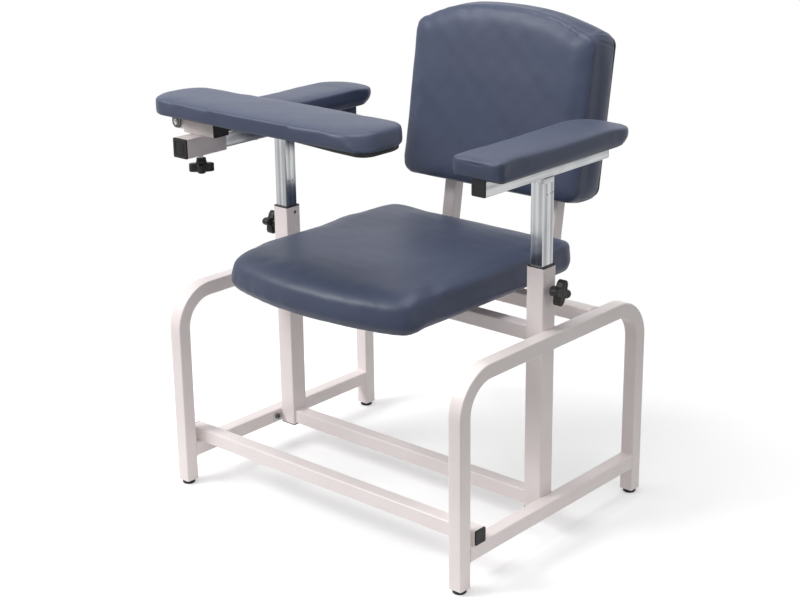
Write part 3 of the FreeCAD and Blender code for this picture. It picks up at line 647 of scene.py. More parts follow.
def round_edges(
    mesh: bmesh.types.BMesh, edges: Sequence[bmesh.types.BMEdge], width: float, segments: int
) -> None:
    """Round some edges of a mesh by a width, in some steps."""
    bmesh.ops.bevel(
        mesh, geom=edges, offset=width, offset_type="OFFSET", segments=segments,
        profile=0.5, affect="EDGES", material=-1, clamp_overlap=True,
    )


def flat_edges(mesh: bmesh.types.BMesh, height: float) -> list[bmesh.types.BMEdge]:
    """List the edges of a mesh that lie at one height."""
    return [e for e in mesh.edges if all(abs(v.co.z - height) < 1e-6 for v in e.verts)]


def round_crisp(mesh: bmesh.types.BMesh, width: float) -> None:
    """Round every edge where two faces meet at a clear angle."""
    crisp = [e for e in mesh.edges if e.is_manifold and e.calc_face_angle(0.0) > CRISP_ANGLE]
    round_edges(mesh, crisp, width, 2)


class Form:
    """A mesh that grows by placed primitives."""

    def __init__(self) -> None:
        """Start empty."""
        self.mesh = bmesh.new()

    def join(self, part: bmesh.types.BMesh, where: Matrix) -> None:
        """Add a part.

        Args:
            part: The part; it is freed.
            where: Its place.
        """
        bmesh.ops.transform(part, matrix=where, verts=part.verts)
        data = bpy.data.meshes.new("part")
        part.to_mesh(data)
        part.free()
        self.mesh.from_mesh(data)
        bpy.data.meshes.remove(data)

    def block(self, size: Sequence[float], where: Matrix, rounding: float = 0.6 * MM) -> None:
        """Add a block.

        Args:
            size: Its three lengths.
            where: The place of its middle.
            rounding: The rounding of its edges.
        """
        part = bmesh.new()
        bmesh.ops.create_cube(part, size=1.0)
        bmesh.ops.scale(part, vec=size, verts=part.verts)
        round_edges(part, part.edges[:], rounding, 2)
        self.join(part, where)

    def turned(
        self, profile: Sequence[tuple[float, float]], where: Matrix, steps: int = 32
    ) -> None:
        """Add a turned part.

        Args:
            profile: Its radii and heights from one end to the other.
            where: Its place.
            steps: How many sides it has.
        """
        part = bmesh.new()
        verts = [part.verts.new((radius, 0.0, height)) for radius, height in profile]
        edges = [part.edges.new(pair) for pair in zip(verts, verts[1:])]
        bmesh.ops.spin(
            part, geom=verts + edges, cent=(0, 0, 0), axis=(0, 0, 1),
            angle=2 * math.pi, steps=steps, use_merge=True, use_duplicate=False,
        )
        bmesh.ops.remove_doubles(part, verts=part.verts, dist=1e-6)
        self.join(part, where)

    def prism(
        self, sides: int, radius: float, depth: float, where: Matrix,
        rounding: float, shape: Callable[[float], float] | None = None,
        dish: tuple[float, float] | None = None,
    ) -> None:
        """Add a prism that stands on its place.

        Args:
            sides: How many sides its outline has.
            radius: Its outline's radius.
            depth: Its height.
            where: Its place.
            rounding: The rounding of its two rims.
            shape: The outline's radius by angle, as a share of the radius.
            dish: The inset and depth of a recess in its top.
        """
        part = bmesh.new()
        bmesh.ops.create_circle(part, cap_ends=True, segments=sides, radius=radius)
        if shape is not None:
            for vert in part.verts:
                vert.co *= shape(math.atan2(vert.co.y, vert.co.x))
        raised = bmesh.ops.extrude_face_region(part, geom=part.faces[:])
        verts = [item for item in raised["geom"] if isinstance(item, bmesh.types.BMVert)]
        bmesh.ops.translate(part, vec=(0.0, 0.0, depth), verts=verts)
        bmesh.ops.recalc_face_normals(part, faces=part.faces)
        round_edges(part, flat_edges(part, 0.0) + flat_edges(part, depth), rounding, 3)
        if dish is not None:
            top = [f for f in part.faces if len(f.verts) == sides and f.normal.z > 0.9]
            inset, drop = dish
            for width, fall in ((inset, 0.0), (drop * 0.6, drop)):
                bmesh.ops.inset_region(
                    part, faces=top, thickness=width, depth=-fall, use_even_offset=True
                )
        self.join(part, where)

    def plate(
        self, width: float, depth: float, corner: float, where: Matrix,
        recess: tuple[float, float] = (4 * MM, 0.4 * MM),
    ) -> None:
        """Add a square plate with round corners and a shallow recess in its face.

        Args:
            width: Its width.
            depth: Its thickness.
            corner: The radius of its corners.
            where: Its place.
            recess: The recess's inset and depth.
        """
        part = bmesh.new()
        bmesh.ops.create_cube(part, size=1.0)
        bmesh.ops.scale(part, vec=(width, width, depth), verts=part.verts)
        bmesh.ops.translate(part, vec=(0.0, 0.0, depth / 2), verts=part.verts)
        upright = [e for e in part.edges if abs(e.verts[0].co.z - e.verts[1].co.z) > depth / 2]
        round_edges(part, upright, corner, 4)
        round_edges(part, flat_edges(part, depth), 0.8 * MM, 2)
        half_face = width * width / 2
        top = [f for f in part.faces if f.normal.z > 0.99 and f.calc_area() > half_face]
        inset, drop = recess
        for share, fall in ((1.0 - 2.0 * inset / width, 0.0), (1.0 - 1.5 * drop / width, drop)):
            top = bmesh.ops.extrude_discrete_faces(part, faces=top)["faces"]
            rim = top[0].verts[:]
            bmesh.ops.scale(part, vec=(share, share, 1.0), verts=rim)
            bmesh.ops.translate(part, vec=(0.0, 0.0, -fall), verts=rim)
        self.join(part, where)

    def bead(
        self, points: Sequence[Vector], radius: float, closed: bool = False, ripple: float = 0.0
    ) -> None:
        """Add a round bead along a line.

        Args:
            points: The line's points.
            radius: The bead's radius.
            closed: Whether the line is a loop.
            ripple: How much its radius swells and shrinks, as a share.
        """
        curve = bpy.data.curves.new("bead", "CURVE")
        curve.dimensions = "3D"
        curve.bevel_depth = radius
        curve.bevel_resolution = 1
        curve.use_fill_caps = True
        spline = curve.splines.new("POLY")
        spline.points.add(len(points) - 1)
        for index, (knot, point) in enumerate(zip(spline.points, points)):
            knot.co = (*point, 1.0)
            knot.radius = 1.0 + ripple * math.sin(index * 2.1)
        spline.use_cyclic_u = closed
        line = placed("bead", curve)
        graph = bpy.context.evaluated_depsgraph_get()
        data = bpy.data.meshes.new_from_object(line.evaluated_get(graph))
        part = bmesh.new()
        part.from_mesh(data)
        bpy.data.objects.remove(line)
        bpy.data.curves.remove(curve)
        bpy.data.meshes.remove(data)
        bmesh.ops.remove_doubles(part, verts=part.verts, dist=1e-6)
        self.join(part, Matrix())

    def piece(
        self, name: str, slot: Slot, body: str, *replaces: str, sharp: float = 40.0
    ) -> None:
        """Finish the form as one piece on a body, which may stand for CAD nodes."""
        finished(name, self.mesh, slot, body, replaces, sharp)


def stretch(start: Vector, end: Vector, step: float = 2 * MM) -> list[Vector]:
    """Give evenly spaced points from one place to another."""
    count = max(2, round((end - start).length / step))
    return [start.lerp(end, index / count) for index in range(count + 1)]


# -------------------------------------------------------- frame and small parts


@dataclass
class Feet:
    """Moulded glides under the four legs."""

    leg_x: float = 0.375
    leg_y: float = 0.283
    stem: tuple[float, float, float] = (0.0256, 0.0256, 0.015)
    stem_middle: float = 0.0165
    profile: tuple[tuple[float, float], ...] = (
        (0.0, 0.0), (0.0108, 0.0), (0.0126, 0.0007), (0.0135, 0.0022), (0.0135, 0.0042),
        (0.0131, 0.0046), (0.0131, 0.0052), (0.0134, 0.0056), (0.0130, 0.0078),
        (0.0118, 0.0090), (0.0, 0.0090),
    )

    def build(self) -> None:
        """Make the four feet with their stems."""
        form = Form()
        for y in (-self.leg_y, self.leg_y):
            for x in (-self.leg_x, self.leg_x):
                form.turned(self.profile, standing((x, y, 0.0)))
                form.block(self.stem, standing((x, y, self.stem_middle)))
        form.piece("moulded_feet", Slot.PLASTIC, "chair", "feet")


@dataclass
class TubeCaps:
    """Pressed-in end caps of the square tubes."""

    thickness: float = 2.5 * MM
    corner: float = 3.0 * MM
    wall: float = 2.1 * MM
    stem: float = 12.0 * MM

    def group(
        self, name: str, body: str, node: str, width: float,
        spots: Sequence[tuple[tuple[float, float, float], Axis]],
    ) -> None:
        """Make the caps of one CAD node.

        Args:
            name: The piece's name.
            body: The body that carries them.
            node: The node that they stand for.
            width: The tube's width.
            spots: Each cap's place and axis.
        """
        form = Form()
        inner = width - 2 * self.wall
        for place, axis in spots:
            form.plate(width, self.thickness, self.corner, standing(place, axis))
            back = Vector(place) - Vector(axis.value) * self.stem / 2
            form.block((inner, inner, self.stem), standing(back, axis))
        form.piece(name, Slot.PLASTIC, body, node, sharp=30.0)

    def build(self) -> None:
        """Make every cap."""
        ends = ((-1, Axis.MINUS_X), (1, Axis.X))
        for name, body, node, width, spots in (
            ("floor_rail_end_caps", "chair", "floor_rail_caps", 0.030,
             [((side * 0.39, -0.242, 0.105), axis) for side, axis in ends]),
            ("support_end_caps", "chair", "support_caps", 0.030,
             [((side * SUPPORT_X, -0.020, 0.453), Axis.MINUS_Y) for side in SIDES]),
            ("upright_end_plugs", "chair", "upright_plugs", 0.040,
             [((side * UPRIGHT_X, 0.005, 0.060), Axis.MINUS_Z) for side in SIDES]),
            ("left_rail_end_caps", "left_armrest", "left_rail_caps", 0.032,
             [((UPRIGHT_X, -0.185, 0.750), Axis.MINUS_Y), ((UPRIGHT_X, 0.195, 0.750), Axis.Y)]),
            ("right_rail_end_cap", "right_armrest", "right_rail_cap", 0.032,
             [((-UPRIGHT_X, 0.212, 0.740), Axis.Y)]),
            ("bracket_end_cap", "drawing_arm", "bracket_cap", 0.040,
             [((-0.288, PAD_Y, 0.780), Axis.X)]),
        ):
            self.group(name, body, node, width, spots)


@dataclass
class SleeveCap:
    """The front cap of the sleeve: a sunk face with raised ribs."""

    width: float = 0.040
    thickness: float = 3.0 * MM
    corner: float = 3.0 * MM
    recess: tuple[float, float] = (5 * MM, 1.6 * MM)
    plug: tuple[float, float, float] = (0.0348, 0.0348, 0.006)
    rib: tuple[float, float, float] = (21 * MM, 2.8 * MM, 1.6 * MM)
    rib_rounding: float = 0.5 * MM
    pitch: float = 5.6 * MM
    rows: int = 4
    front: float = -0.284
    height: float = 0.740

    def at(self, y: float, z: float) -> Matrix:
        """Give the place of a part on the sleeve's axis, turned to the front."""
        return standing((-UPRIGHT_X, y, z), Axis.MINUS_Y)

    def build(self) -> None:
        """Make the cap."""
        form = Form()
        form.plate(
            self.width, self.thickness, self.corner, self.at(self.front, self.height), self.recess
        )
        form.block(self.plug, self.at(self.front + self.plug[2] / 2, self.height))
        y = self.front - self.thickness + 1.1 * MM
        for row in range(self.rows):
            z = self.height + (row - (self.rows - 1) / 2) * self.pitch
            form.block(self.rib, self.at(y, z), self.rib_rounding)
        form.piece("ribbed_sleeve_cap", Slot.PLASTIC, "drawing_arm", "sleeve_cap", sharp=30.0)


@dataclass
class StarKnob:
    """A four-lobed clamping knob on a threaded stud."""

    name: str
    body: str
    node: str
    stud_node: str
    place: tuple[float, float, float]
    axis: Axis
    outside: float
    spin: float = 0.0
    lobes: int = 4
    radius: float = 25.3 * MM
    waist_share: float = 0.53
    thickness: float = 17.0 * MM
    hub_radius: float = 10.0 * MM
    hub_length: float = 11.0 * MM
    stud_radius: float = 4.0 * MM
    bite: float = 14.0 * MM
    pitch: float = 1.25 * MM

    def reach(self, angle: float) -> float:
        """Give the outline's share of the radius at an angle."""
        wave = 0.5 + 0.5 * math.cos(self.lobes * angle)
        return self.waist_share + (1.0 - self.waist_share) * wave ** 0.85

    def head(self) -> None:
        """Make the star, its hub and the button in its middle."""
        form = Form()
        along = Vector(self.axis.value)
        base = Vector(self.place)
        star = standing(base + along * self.hub_length, self.axis, self.spin)
        form.prism(
            96, self.radius, self.thickness, star, 2.4 * MM, self.reach, (3.0 * MM, 0.7 * MM)
        )
        bore, rim, end = self.stud_radius + 0.1 * MM, self.hub_radius, self.hub_length + 1 * MM
        hub = (
            (bore, 0.0), (rim - 1.0 * MM, 0.0), (rim, 0.8 * MM), (rim, 3.0 * MM),
            (rim - 0.6 * MM, 3.4 * MM), (rim - 0.6 * MM, 4.2 * MM), (rim + 0.2 * MM, 4.8 * MM),
            (rim + 1.6 * MM, end), (bore, end), (bore, 0.0),
        )
        form.turned(hub, standing(base, self.axis))
        top = self.hub_length + self.thickness - 0.9 * MM
        button = (
            (0.0, 1.0 * MM), (3.4 * MM, 0.8 * MM), (4.6 * MM, 0.2 * MM), (4.8 * MM, 0.0),
            (0.0, 0.0),
        )
        form.turned(button, standing(base + along * top, self.axis))
        form.piece(self.name, Slot.PLASTIC, self.body, self.node)

    def stud(self) -> None:
        """Make the threaded stud."""
        form = Form()
        length = self.outside + self.bite - 1 * MM
        root = self.stud_radius * 0.86
        profile = [(0.0, 0.0), (self.stud_radius * 0.7, 0.0)]
        for turn in range(int(length / self.pitch) - 1):
            low = (turn + 0.6) * self.pitch
            profile.append((root, low))
            profile.append((self.stud_radius, low + self.pitch * 0.4))
            profile.append((self.stud_radius, low + self.pitch * 0.55))
        profile += [(root, length), (0.0, length)]
        start = Vector(self.place) - Vector(self.axis.value) * self.outside
        form.turned(profile, standing(start, self.axis), 20)
        form.piece(self.name + "_stud", Slot.STEEL, self.body, self.stud_node, sharp=25.0)

    def build(self) -> None:
        """Make knob and stud."""
        self.head()
        self.stud()


def star_knobs() -> list[StarKnob]:
    """List the three knobs."""
    return [
        StarKnob(
            "left_star_knob", "left_height_knob", "left_knob", "left_knob_stud",
            (0.366, 0.005, 0.515), Axis.X, 9.7 * MM, -20.0,
        ),
        StarKnob(
            "right_star_knob", "right_height_knob", "right_knob", "right_knob_stud",
            (-0.366, 0.005, 0.515), Axis.MINUS_X, 9.7 * MM, 14.0,
        ),
        StarKnob(
            "sleeve_star_knob", "sleeve_clamp_knob", "sleeve_knob", "sleeve_knob_stud",
            (-UPRIGHT_X, -0.232, 0.711), Axis.MINUS_Z, 12.7 * MM, 42.0,
        ),
    ]


@dataclass
class Fasteners:
    """Bolts, screws and washers."""

    bolt_radius: float = 6.5 * MM
    bolt_height: float = 4.0 * MM
    shank_radius: float = 4.0 * MM
    under_length: float = 37 * MM
    cover_depth: float = 96.0 * MM
    washer: tuple[tuple[float, float], ...] = (
        (4.0 * MM, 0.0), (11.6 * MM, 0.0), (12.0 * MM, 0.3 * MM), (12.0 * MM, 1.2 * MM),
        (11.6 * MM, 1.5 * MM), (4.6 * MM, 1.5 * MM), (4.0 * MM, 1.2 * MM), (4.0 * MM, 0.0),
    )

    def bolt(self, length: float) -> tuple[tuple[float, float], ...]:
        """Give the profile of a button-head socket bolt with a shank of some length."""
        r, h = self.bolt_radius, self.bolt_height
        return (
            (0.0, -length), (self.shank_radius * 0.8, -length),
            (self.shank_radius, -length + 0.8 * MM), (self.shank_radius, -0.1 * MM),
            (r - 0.2 * MM, 0.0), (r, 0.5 * MM), (r * 0.93, h * 0.55), (r * 0.72, h * 0.92),
            (r * 0.56, h), (r * 0.47, h), (r * 0.44, h - 0.3 * MM), (r * 0.44, h * 0.35),
            (0.0, h * 0.25),
        )

    def screw(self, length: float) -> tuple[tuple[float, float], ...]:
        """Give the profile of a pan-head screw on a thin cup washer."""
        return (
            (0.0, -length), (1.2 * MM, -length + 1 * MM), (1.7 * MM, -0.1 * MM), (3.3 * MM, 0.0),
            (3.5 * MM, 0.4 * MM), (3.2 * MM, 1.2 * MM), (2.2 * MM, 1.7 * MM), (1.0 * MM, 1.8 * MM),
            (0.8 * MM, 1.2 * MM), (0.0, 1.0 * MM),
        )

    def on_cover(self, x: float, along: float) -> Vector:
        """Give a place on the rear face of the back cover, along its height."""
        return BACK_FOOT + Vector((x, 0.0, 0.0)) + BACK_UP * along + BACK_REAR * self.cover_depth

    def build(self) -> None:
        """Make every fastener that can be seen."""
        bolt, screw, steel, dark = self.bolt, self.screw, Slot.STEEL, Slot.DARK_STEEL
        inward = ((-1, Axis.X), (1, Axis.MINUS_X))
        back = [self.on_cover(side * SUPPORT_X, BACK_HEIGHT * share)
                for side in SIDES for share in (0.24, 0.52)]
        cover = [self.on_cover(side * 0.220, 0.062 + BACK_HEIGHT * 0.61 * share)
                 for side in SIDES for share in (0.08, 0.45, 0.75)]
        groups = [
            ("stretcher_button_bolts", "stretcher_bolts", "chair", dark, bolt(21.5 * MM), 28,
             [((side * 0.3585, -0.029, STRETCHER_Z), axis) for side, axis in inward]),
            ("stretcher_plain_washers", "stretcher_washers", "chair", steel, self.washer, 40,
             [((side * 0.360, -0.029, STRETCHER_Z), axis) for side, axis in inward]),
        ]
        for name, body, height, columns, rows in (
            ("support", "chair", 0.408, (-SUPPORT_X, SUPPORT_X), (0.005, 0.155)),
            ("seat", "chair", 0.438, (-SUPPORT_X, SUPPORT_X), (0.060, 0.215)),
            ("left_arm", "left_armrest", 0.734, (UPRIGHT_X,), (-0.120, 0.120)),
            ("right_arm", "right_armrest", 0.724, (-UPRIGHT_X,), (-0.080, 0.120)),
        ):
            groups.append((
                name + "_button_bolts", name + "_bolts", body, dark, bolt(self.under_length), 28,
                [((x, y, height), Axis.MINUS_Z) for x in columns for y in rows],
            ))
        groups += [
            ("back_button_bolts", "back_bolts", "chair", dark, bolt(41 * MM), 28,
             [(place, BACK_REAR) for place in back]),
            ("cover_pan_screws", "cover_screws", "chair", steel, screw(15 * MM), 24,
             [(place, BACK_REAR) for place in cover]),
            ("bush_pan_screws", "bush_screws", "chair", dark, screw(3.5 * MM), 24,
             [((side * 0.320, 0.009, 0.548), axis) for side, axis in inward]),
        ]
        for name, node, body, slot, profile, steps, places in groups:
            form = Form()
            for place, axis in places:
                form.turned(profile, standing(place, axis), steps)
            form.piece(name, slot, body, node)


@dataclass
class PadPivot:
    """The pivot bolt and nut of the drawing pad's hinge."""

    x: float = -0.394
    z: float = 0.780
    half_length: float = 23.3 * MM
    bolt: tuple[tuple[float, float], ...] = (
        (0.0, -54.9 * MM), (3.2 * MM, -54.9 * MM), (3.9 * MM, -54.2 * MM), (3.9 * MM, -0.1 * MM),
        (5.6 * MM, 0.0), (5.75 * MM, 0.4 * MM), (5.7 * MM, 1.4 * MM), (5.0 * MM, 1.7 * MM),
        (4.9 * MM, 1.7 * MM), (4.9 * MM, 1.3 * MM), (4.3 * MM, 1.3 * MM), (4.3 * MM, 2.2 * MM),
        (3.6 * MM, 3.3 * MM), (2.2 * MM, 3.9 * MM), (0.0, 4.0 * MM),
    )
    nut: tuple[float, float] = (7.4 * MM, 6.4 * MM)
    collar: tuple[tuple[float, float], ...] = (
        (4.0 * MM, 6.2 * MM), (6.0 * MM, 6.2 * MM), (5.6 * MM, 7.0 * MM), (4.0 * MM, 7.0 * MM),
        (4.0 * MM, 6.2 * MM),
    )

    def build(self) -> None:
        """Make bolt and nut."""
        form = Form()
        front = (self.x, PAD_Y - self.half_length, self.z)
        form.turned(self.bolt, standing(front, Axis.MINUS_Y), 32)
        form.piece("pivot_domed_bolt", Slot.STEEL, "drawing_pad", "pivot_bolt", sharp=30.0)
        form = Form()
        rear = standing((self.x, PAD_Y + self.half_length, self.z), Axis.Y)
        form.prism(6, *self.nut, rear, 0.7 * MM)
        form.turned(self.collar, rear, 24)
        form.piece("pivot_lock_nut", Slot.STEEL, "drawing_pad", "pivot_nut", sharp=30.0)


@dataclass
class Welds:
    """Weld beads where the tubes meet, under the paint or the plating."""

    radius: float = 1.3 * MM
    ripple: float = 0.16
    tube: float = 0.030
    chamfer: float = 2.2 * MM

    def ring(self, form: Form, centre: tuple[float, float, float], across: Vector) -> None:
        """Add a bead round a square tube's end.

        Args:
            form: The form to add to.
            centre: The middle of the tube's end.
            across: The level side of the end.
        """
        half, cut = self.tube / 2, self.tube / 2 - self.chamfer
        corners = [
            (half, -cut), (half, cut), (cut, half), (-cut, half),
            (-half, cut), (-half, -cut), (-cut, -half), (cut, -half),
        ]
        up = Vector((0, 0, 1))
        knots = [Vector(centre) + across * a + up * b for a, b in corners]
        points = []
        for start, end in zip(knots, knots[1:] + knots[:1]):
            points += stretch(start, end)[:-1]
        form.bead(points, self.radius, True, self.ripple)

    def run(self, form: Form, start: Sequence[float], end: Sequence[float]) -> None:
        """Add a straight bead."""
        form.bead(stretch(Vector(start), Vector(end)), self.radius, False, self.ripple)

    def frame_beads(self) -> None:
        """Make the beads of the painted frame."""
        x_way, y_way = Vector((1, 0, 0)), Vector((0, 1, 0))
        form = Form()
        for side in SIDES:
            for end in SIDES:
                self.ring(form, (side * 0.375, end * 0.268, STRETCHER_Z), x_way)
            for edge in (-0.257, -0.227):
                self.run(form, (side * 0.362, edge, 0.090), (side * 0.388, edge, 0.090))
            for centre in ((0.320, 0.005, 0.077), (0.320, 0.005, 0.423), (0.360, 0.155, 0.423)):
                self.ring(form, (side * centre[0], *centre[1:]), y_way)
            x = side * 0.360
            for low, high in ((0.062, 0.089), (0.410, 0.437)):
                for edge in (-0.0145, 0.0245):
                    self.run(form, (x, edge, low), (x, edge, high))
                self.run(form, (x, -0.013, high + 0.001), (x, 0.023, high + 0.001))
        form.piece("frame_weld_beads", Slot.PAINT, "chair", sharp=60.0)

    def build(self) -> None:
        """Make every bead."""
        self.frame_beads()
        for side, body, height in ((1, "left_armrest", 0.734), (-1, "right_armrest", 0.724)):
            form = Form()
            x = side * UPRIGHT_X
            for edge in (-0.011, 0.021):
                self.run(form, (x - 0.014, edge, height), (x + 0.014, edge, height))
            form.piece(body + "_weld_beads", Slot.CHROME, body, sharp=60.0)
        form = Form()
        for edge in (-0.358, -0.322):
            self.run(form, (edge, -0.241, 0.760), (edge, -0.205, 0.760))
        form.piece("bracket_weld_beads", Slot.PAINT, "drawing_arm", sharp=60.0)


@dataclass
class PostMarks:
    """Small pressed rivets on the chromed posts."""

    profile: tuple[tuple[float, float], ...] = (
        (0.0, 0.5 * MM), (0.7 * MM, 0.45 * MM), (1.3 * MM, 0.2 * MM), (1.6 * MM, 0.0), (0.0, 0.0),
    )

    def build(self) -> None:
        """Make the rivets of both posts."""
        for name, body, x, spots in (
            ("left_post_rivets", "left_armrest", 0.356,
             ((-0.001, 0.702), (0.009, 0.703), (0.016, 0.704))),
            ("right_post_rivets", "right_armrest", -0.324, ((-0.004, 0.618), (0.009, 0.618))),
        ):
            form = Form()
            for y, z in spots:
                form.turned(self.profile, standing((x, y, z), Axis.X), 16)
            form.piece(name, Slot.DARK_STEEL, body)


@dataclass
class SeatUnderside:
    """Staples that hold the vinyl's hem to the seat board."""

    half_width: float = 0.198
    front: float = -0.215
    rear: float = 0.222
    height: float = 0.468
    pitch: float = 0.036
    front_overlap: float = 0.022
    support_gap: float = 0.022
    crown: float = 9.5 * MM
    leg: float = 1.5 * MM
    wire: float = 0.35 * MM

    def staple(self, form: Form, x: float, y: float, along_x: bool) -> None:
        """Add one staple, flat on the board's lower face.

        Args:
            form: The form to add to.
            x: Its middle across the seat.
            y: Its middle along the seat.
            along_x: Whether its crown runs across the seat.
        """
        half = self.crown / 2
        start = Vector((x, y, self.height - self.wire * 0.5))
        step = Vector((half, 0, 0)) if along_x else Vector((0, half, 0))
        leg = Vector((0, 0, self.leg))
        points = [start - step + leg, start - step, start + step, start + step + leg]
        form.bead(points, self.wire)

    def build(self) -> None:
        """Make the rows of staples."""
        form = Form()
        rows = int((self.rear - self.front) / self.pitch)
        for row in range(rows + 1):
            y = self.front + row * self.pitch
            for side in SIDES:
                self.staple(form, side * self.half_width, y, False)
        columns = int(2 * self.half_width / self.pitch)
        for column in range(1, columns):
            x = -self.half_width + column * self.pitch
            if abs(abs(x) - SUPPORT_X) > self.support_gap:
                self.staple(form, x, self.rear, True)
            self.staple(form, x, self.front - self.front_overlap, True)
        form.piece("seat_hem_staples", Slot.STEEL, "chair", sharp=60.0)


@dataclass
class SoftEdges:
    """CAD nodes whose cut edges are rounded: plates, boards, sleeve and collars."""

    nodes: tuple[tuple[str, Slot, str, float], ...] = (
        ("left_bush", Slot.PLASTIC, "chair", 0.5 * MM),
        ("right_bush", Slot.PLASTIC, "chair", 0.5 * MM),
        ("arm_sleeve", Slot.PAINT, "drawing_arm", 0.6 * MM),
        ("arm_bracket", Slot.PAINT, "drawing_arm", 0.6 * MM),
        ("pad_hinge", Slot.DARK_STEEL, "drawing_pad", 0.5 * MM),
        ("back_cover", Slot.BOARD, "chair", 1.0 * MM),
        ("seat_board", Slot.BOARD, "chair", 1.0 * MM),
        ("left_arm_board", Slot.BOARD, "left_armrest", 1.0 * MM),
        ("right_arm_board", Slot.BOARD, "right_armrest", 1.0 * MM),
        ("drawing_board", Slot.BOARD, "drawing_pad", 1.0 * MM),
    )

    def build(self) -> None:
        """Copy each node with round edges, and let the copy stand for it."""
        for node, slot, body, width in self.nodes:
            mesh = merged(node)
            join_flats(mesh)
            round_crisp(mesh, width)
            finished("soft_edged_" + node, mesh, slot, body, (node,), 35.0)


# --------------------------------------------------------------- cushions


@dataclass(frozen=True)
class Fold:
    """A crease in the vinyl along a line, with slightly raised lips."""

    points: tuple[tuple[float, float, float], ...]
    width: float = 2.6 * MM
    depth: float = 2.0 * MM
    lip: float = 0.45


def rise(values: np.ndarray, low: float, high: float) -> np.ndarray:
    """Step smoothly from 0 at one value to 1 at another."""
    share = np.clip((values - low) / (high - low), 0.0, 1.0)
    return share * share * (3.0 - 2.0 * share)


class Skin:
    """A pad's points and normals as arrays."""

    def __init__(self, pad: bpy.types.Object) -> None:
        """Read the pad's mesh.

        Args:
            pad: The pad.
        """
        self.data = pad.data
        self.points = self.rows(self.data.vertices, "co")
        self.normals = self.rows(self.data.vertex_normals, "vector")

    @staticmethod
    def rows(source: bpy.types.bpy_prop_collection, name: str) -> np.ndarray:
        """Read one vector of each item of a mesh's list.

        Args:
            source: The list.
            name: The vector's name.

        Returns:
            The vectors as rows.
        """
        values = np.empty(len(source) * 3, dtype=np.float32)
        source.foreach_get(name, values)
        return values.reshape(-1, 3).astype(float)

    def write(self) -> None:
        """Write the points back to the mesh."""
        self.data.vertices.foreach_set("co", self.points.astype(np.float32).ravel())
        self.data.update()

    def push(self, amount: np.ndarray) -> None:
        """Move every point along its normal."""
        self.points += self.normals * amount[:, None]

    def crease(self, fold: Fold, free: np.ndarray) -> None:
        """Press a fold into the skin, where its points may move freely.

        Args:
            fold: The fold.
            free: How freely each point may move, from 0 to 1.
        """
        line = [np.array(point) for point in fold.points]
        near = np.full(len(self.points), 1.0)
        share = np.zeros(len(self.points))
        for index, (start, end) in enumerate(zip(line, line[1:])):
            along = end - start
            t = np.clip((self.points - start) @ along / (along @ along), 0.0, 1.0)
            distance = np.linalg.norm(self.points - start - t[:, None] * along, axis=1)
            closer = distance < near
            near = np.where(closer, distance, near)
            share = np.where(closer, (index + t) / (len(line) - 1), share)
        fade = np.sqrt(np.clip(np.sin(np.pi * np.clip(share, 0.06, 0.94)), 0.0, 1.0))
        groove = np.exp(-((near / fold.width) ** 2))
        lips = np.exp(-(((near - 2.1 * fold.width) / fold.width) ** 2))
        self.push(fold.depth * fade * free * (fold.lip * lips - groove))

    def wave(self, amount: float, length: float, free: np.ndarray, seed: int) -> None:
        """Let the skin wave gently, as filled vinyl does.

        Args:
            amount: The waves' height.
            length: Their length.
            free: How freely each point may move.
            seed: Picks the pattern.
        """
        dice = np.random.default_rng(seed)
        total = np.zeros(len(self.points))
        for _ in range(6):
            direction = dice.normal(size=3)
            direction *= 2.0 * np.pi / length / np.linalg.norm(direction) * dice.uniform(0.6, 1.5)
            total += np.sin(self.points @ direction + dice.uniform(0.0, 6.28))
        self.push(amount * total / 2.5 * free)


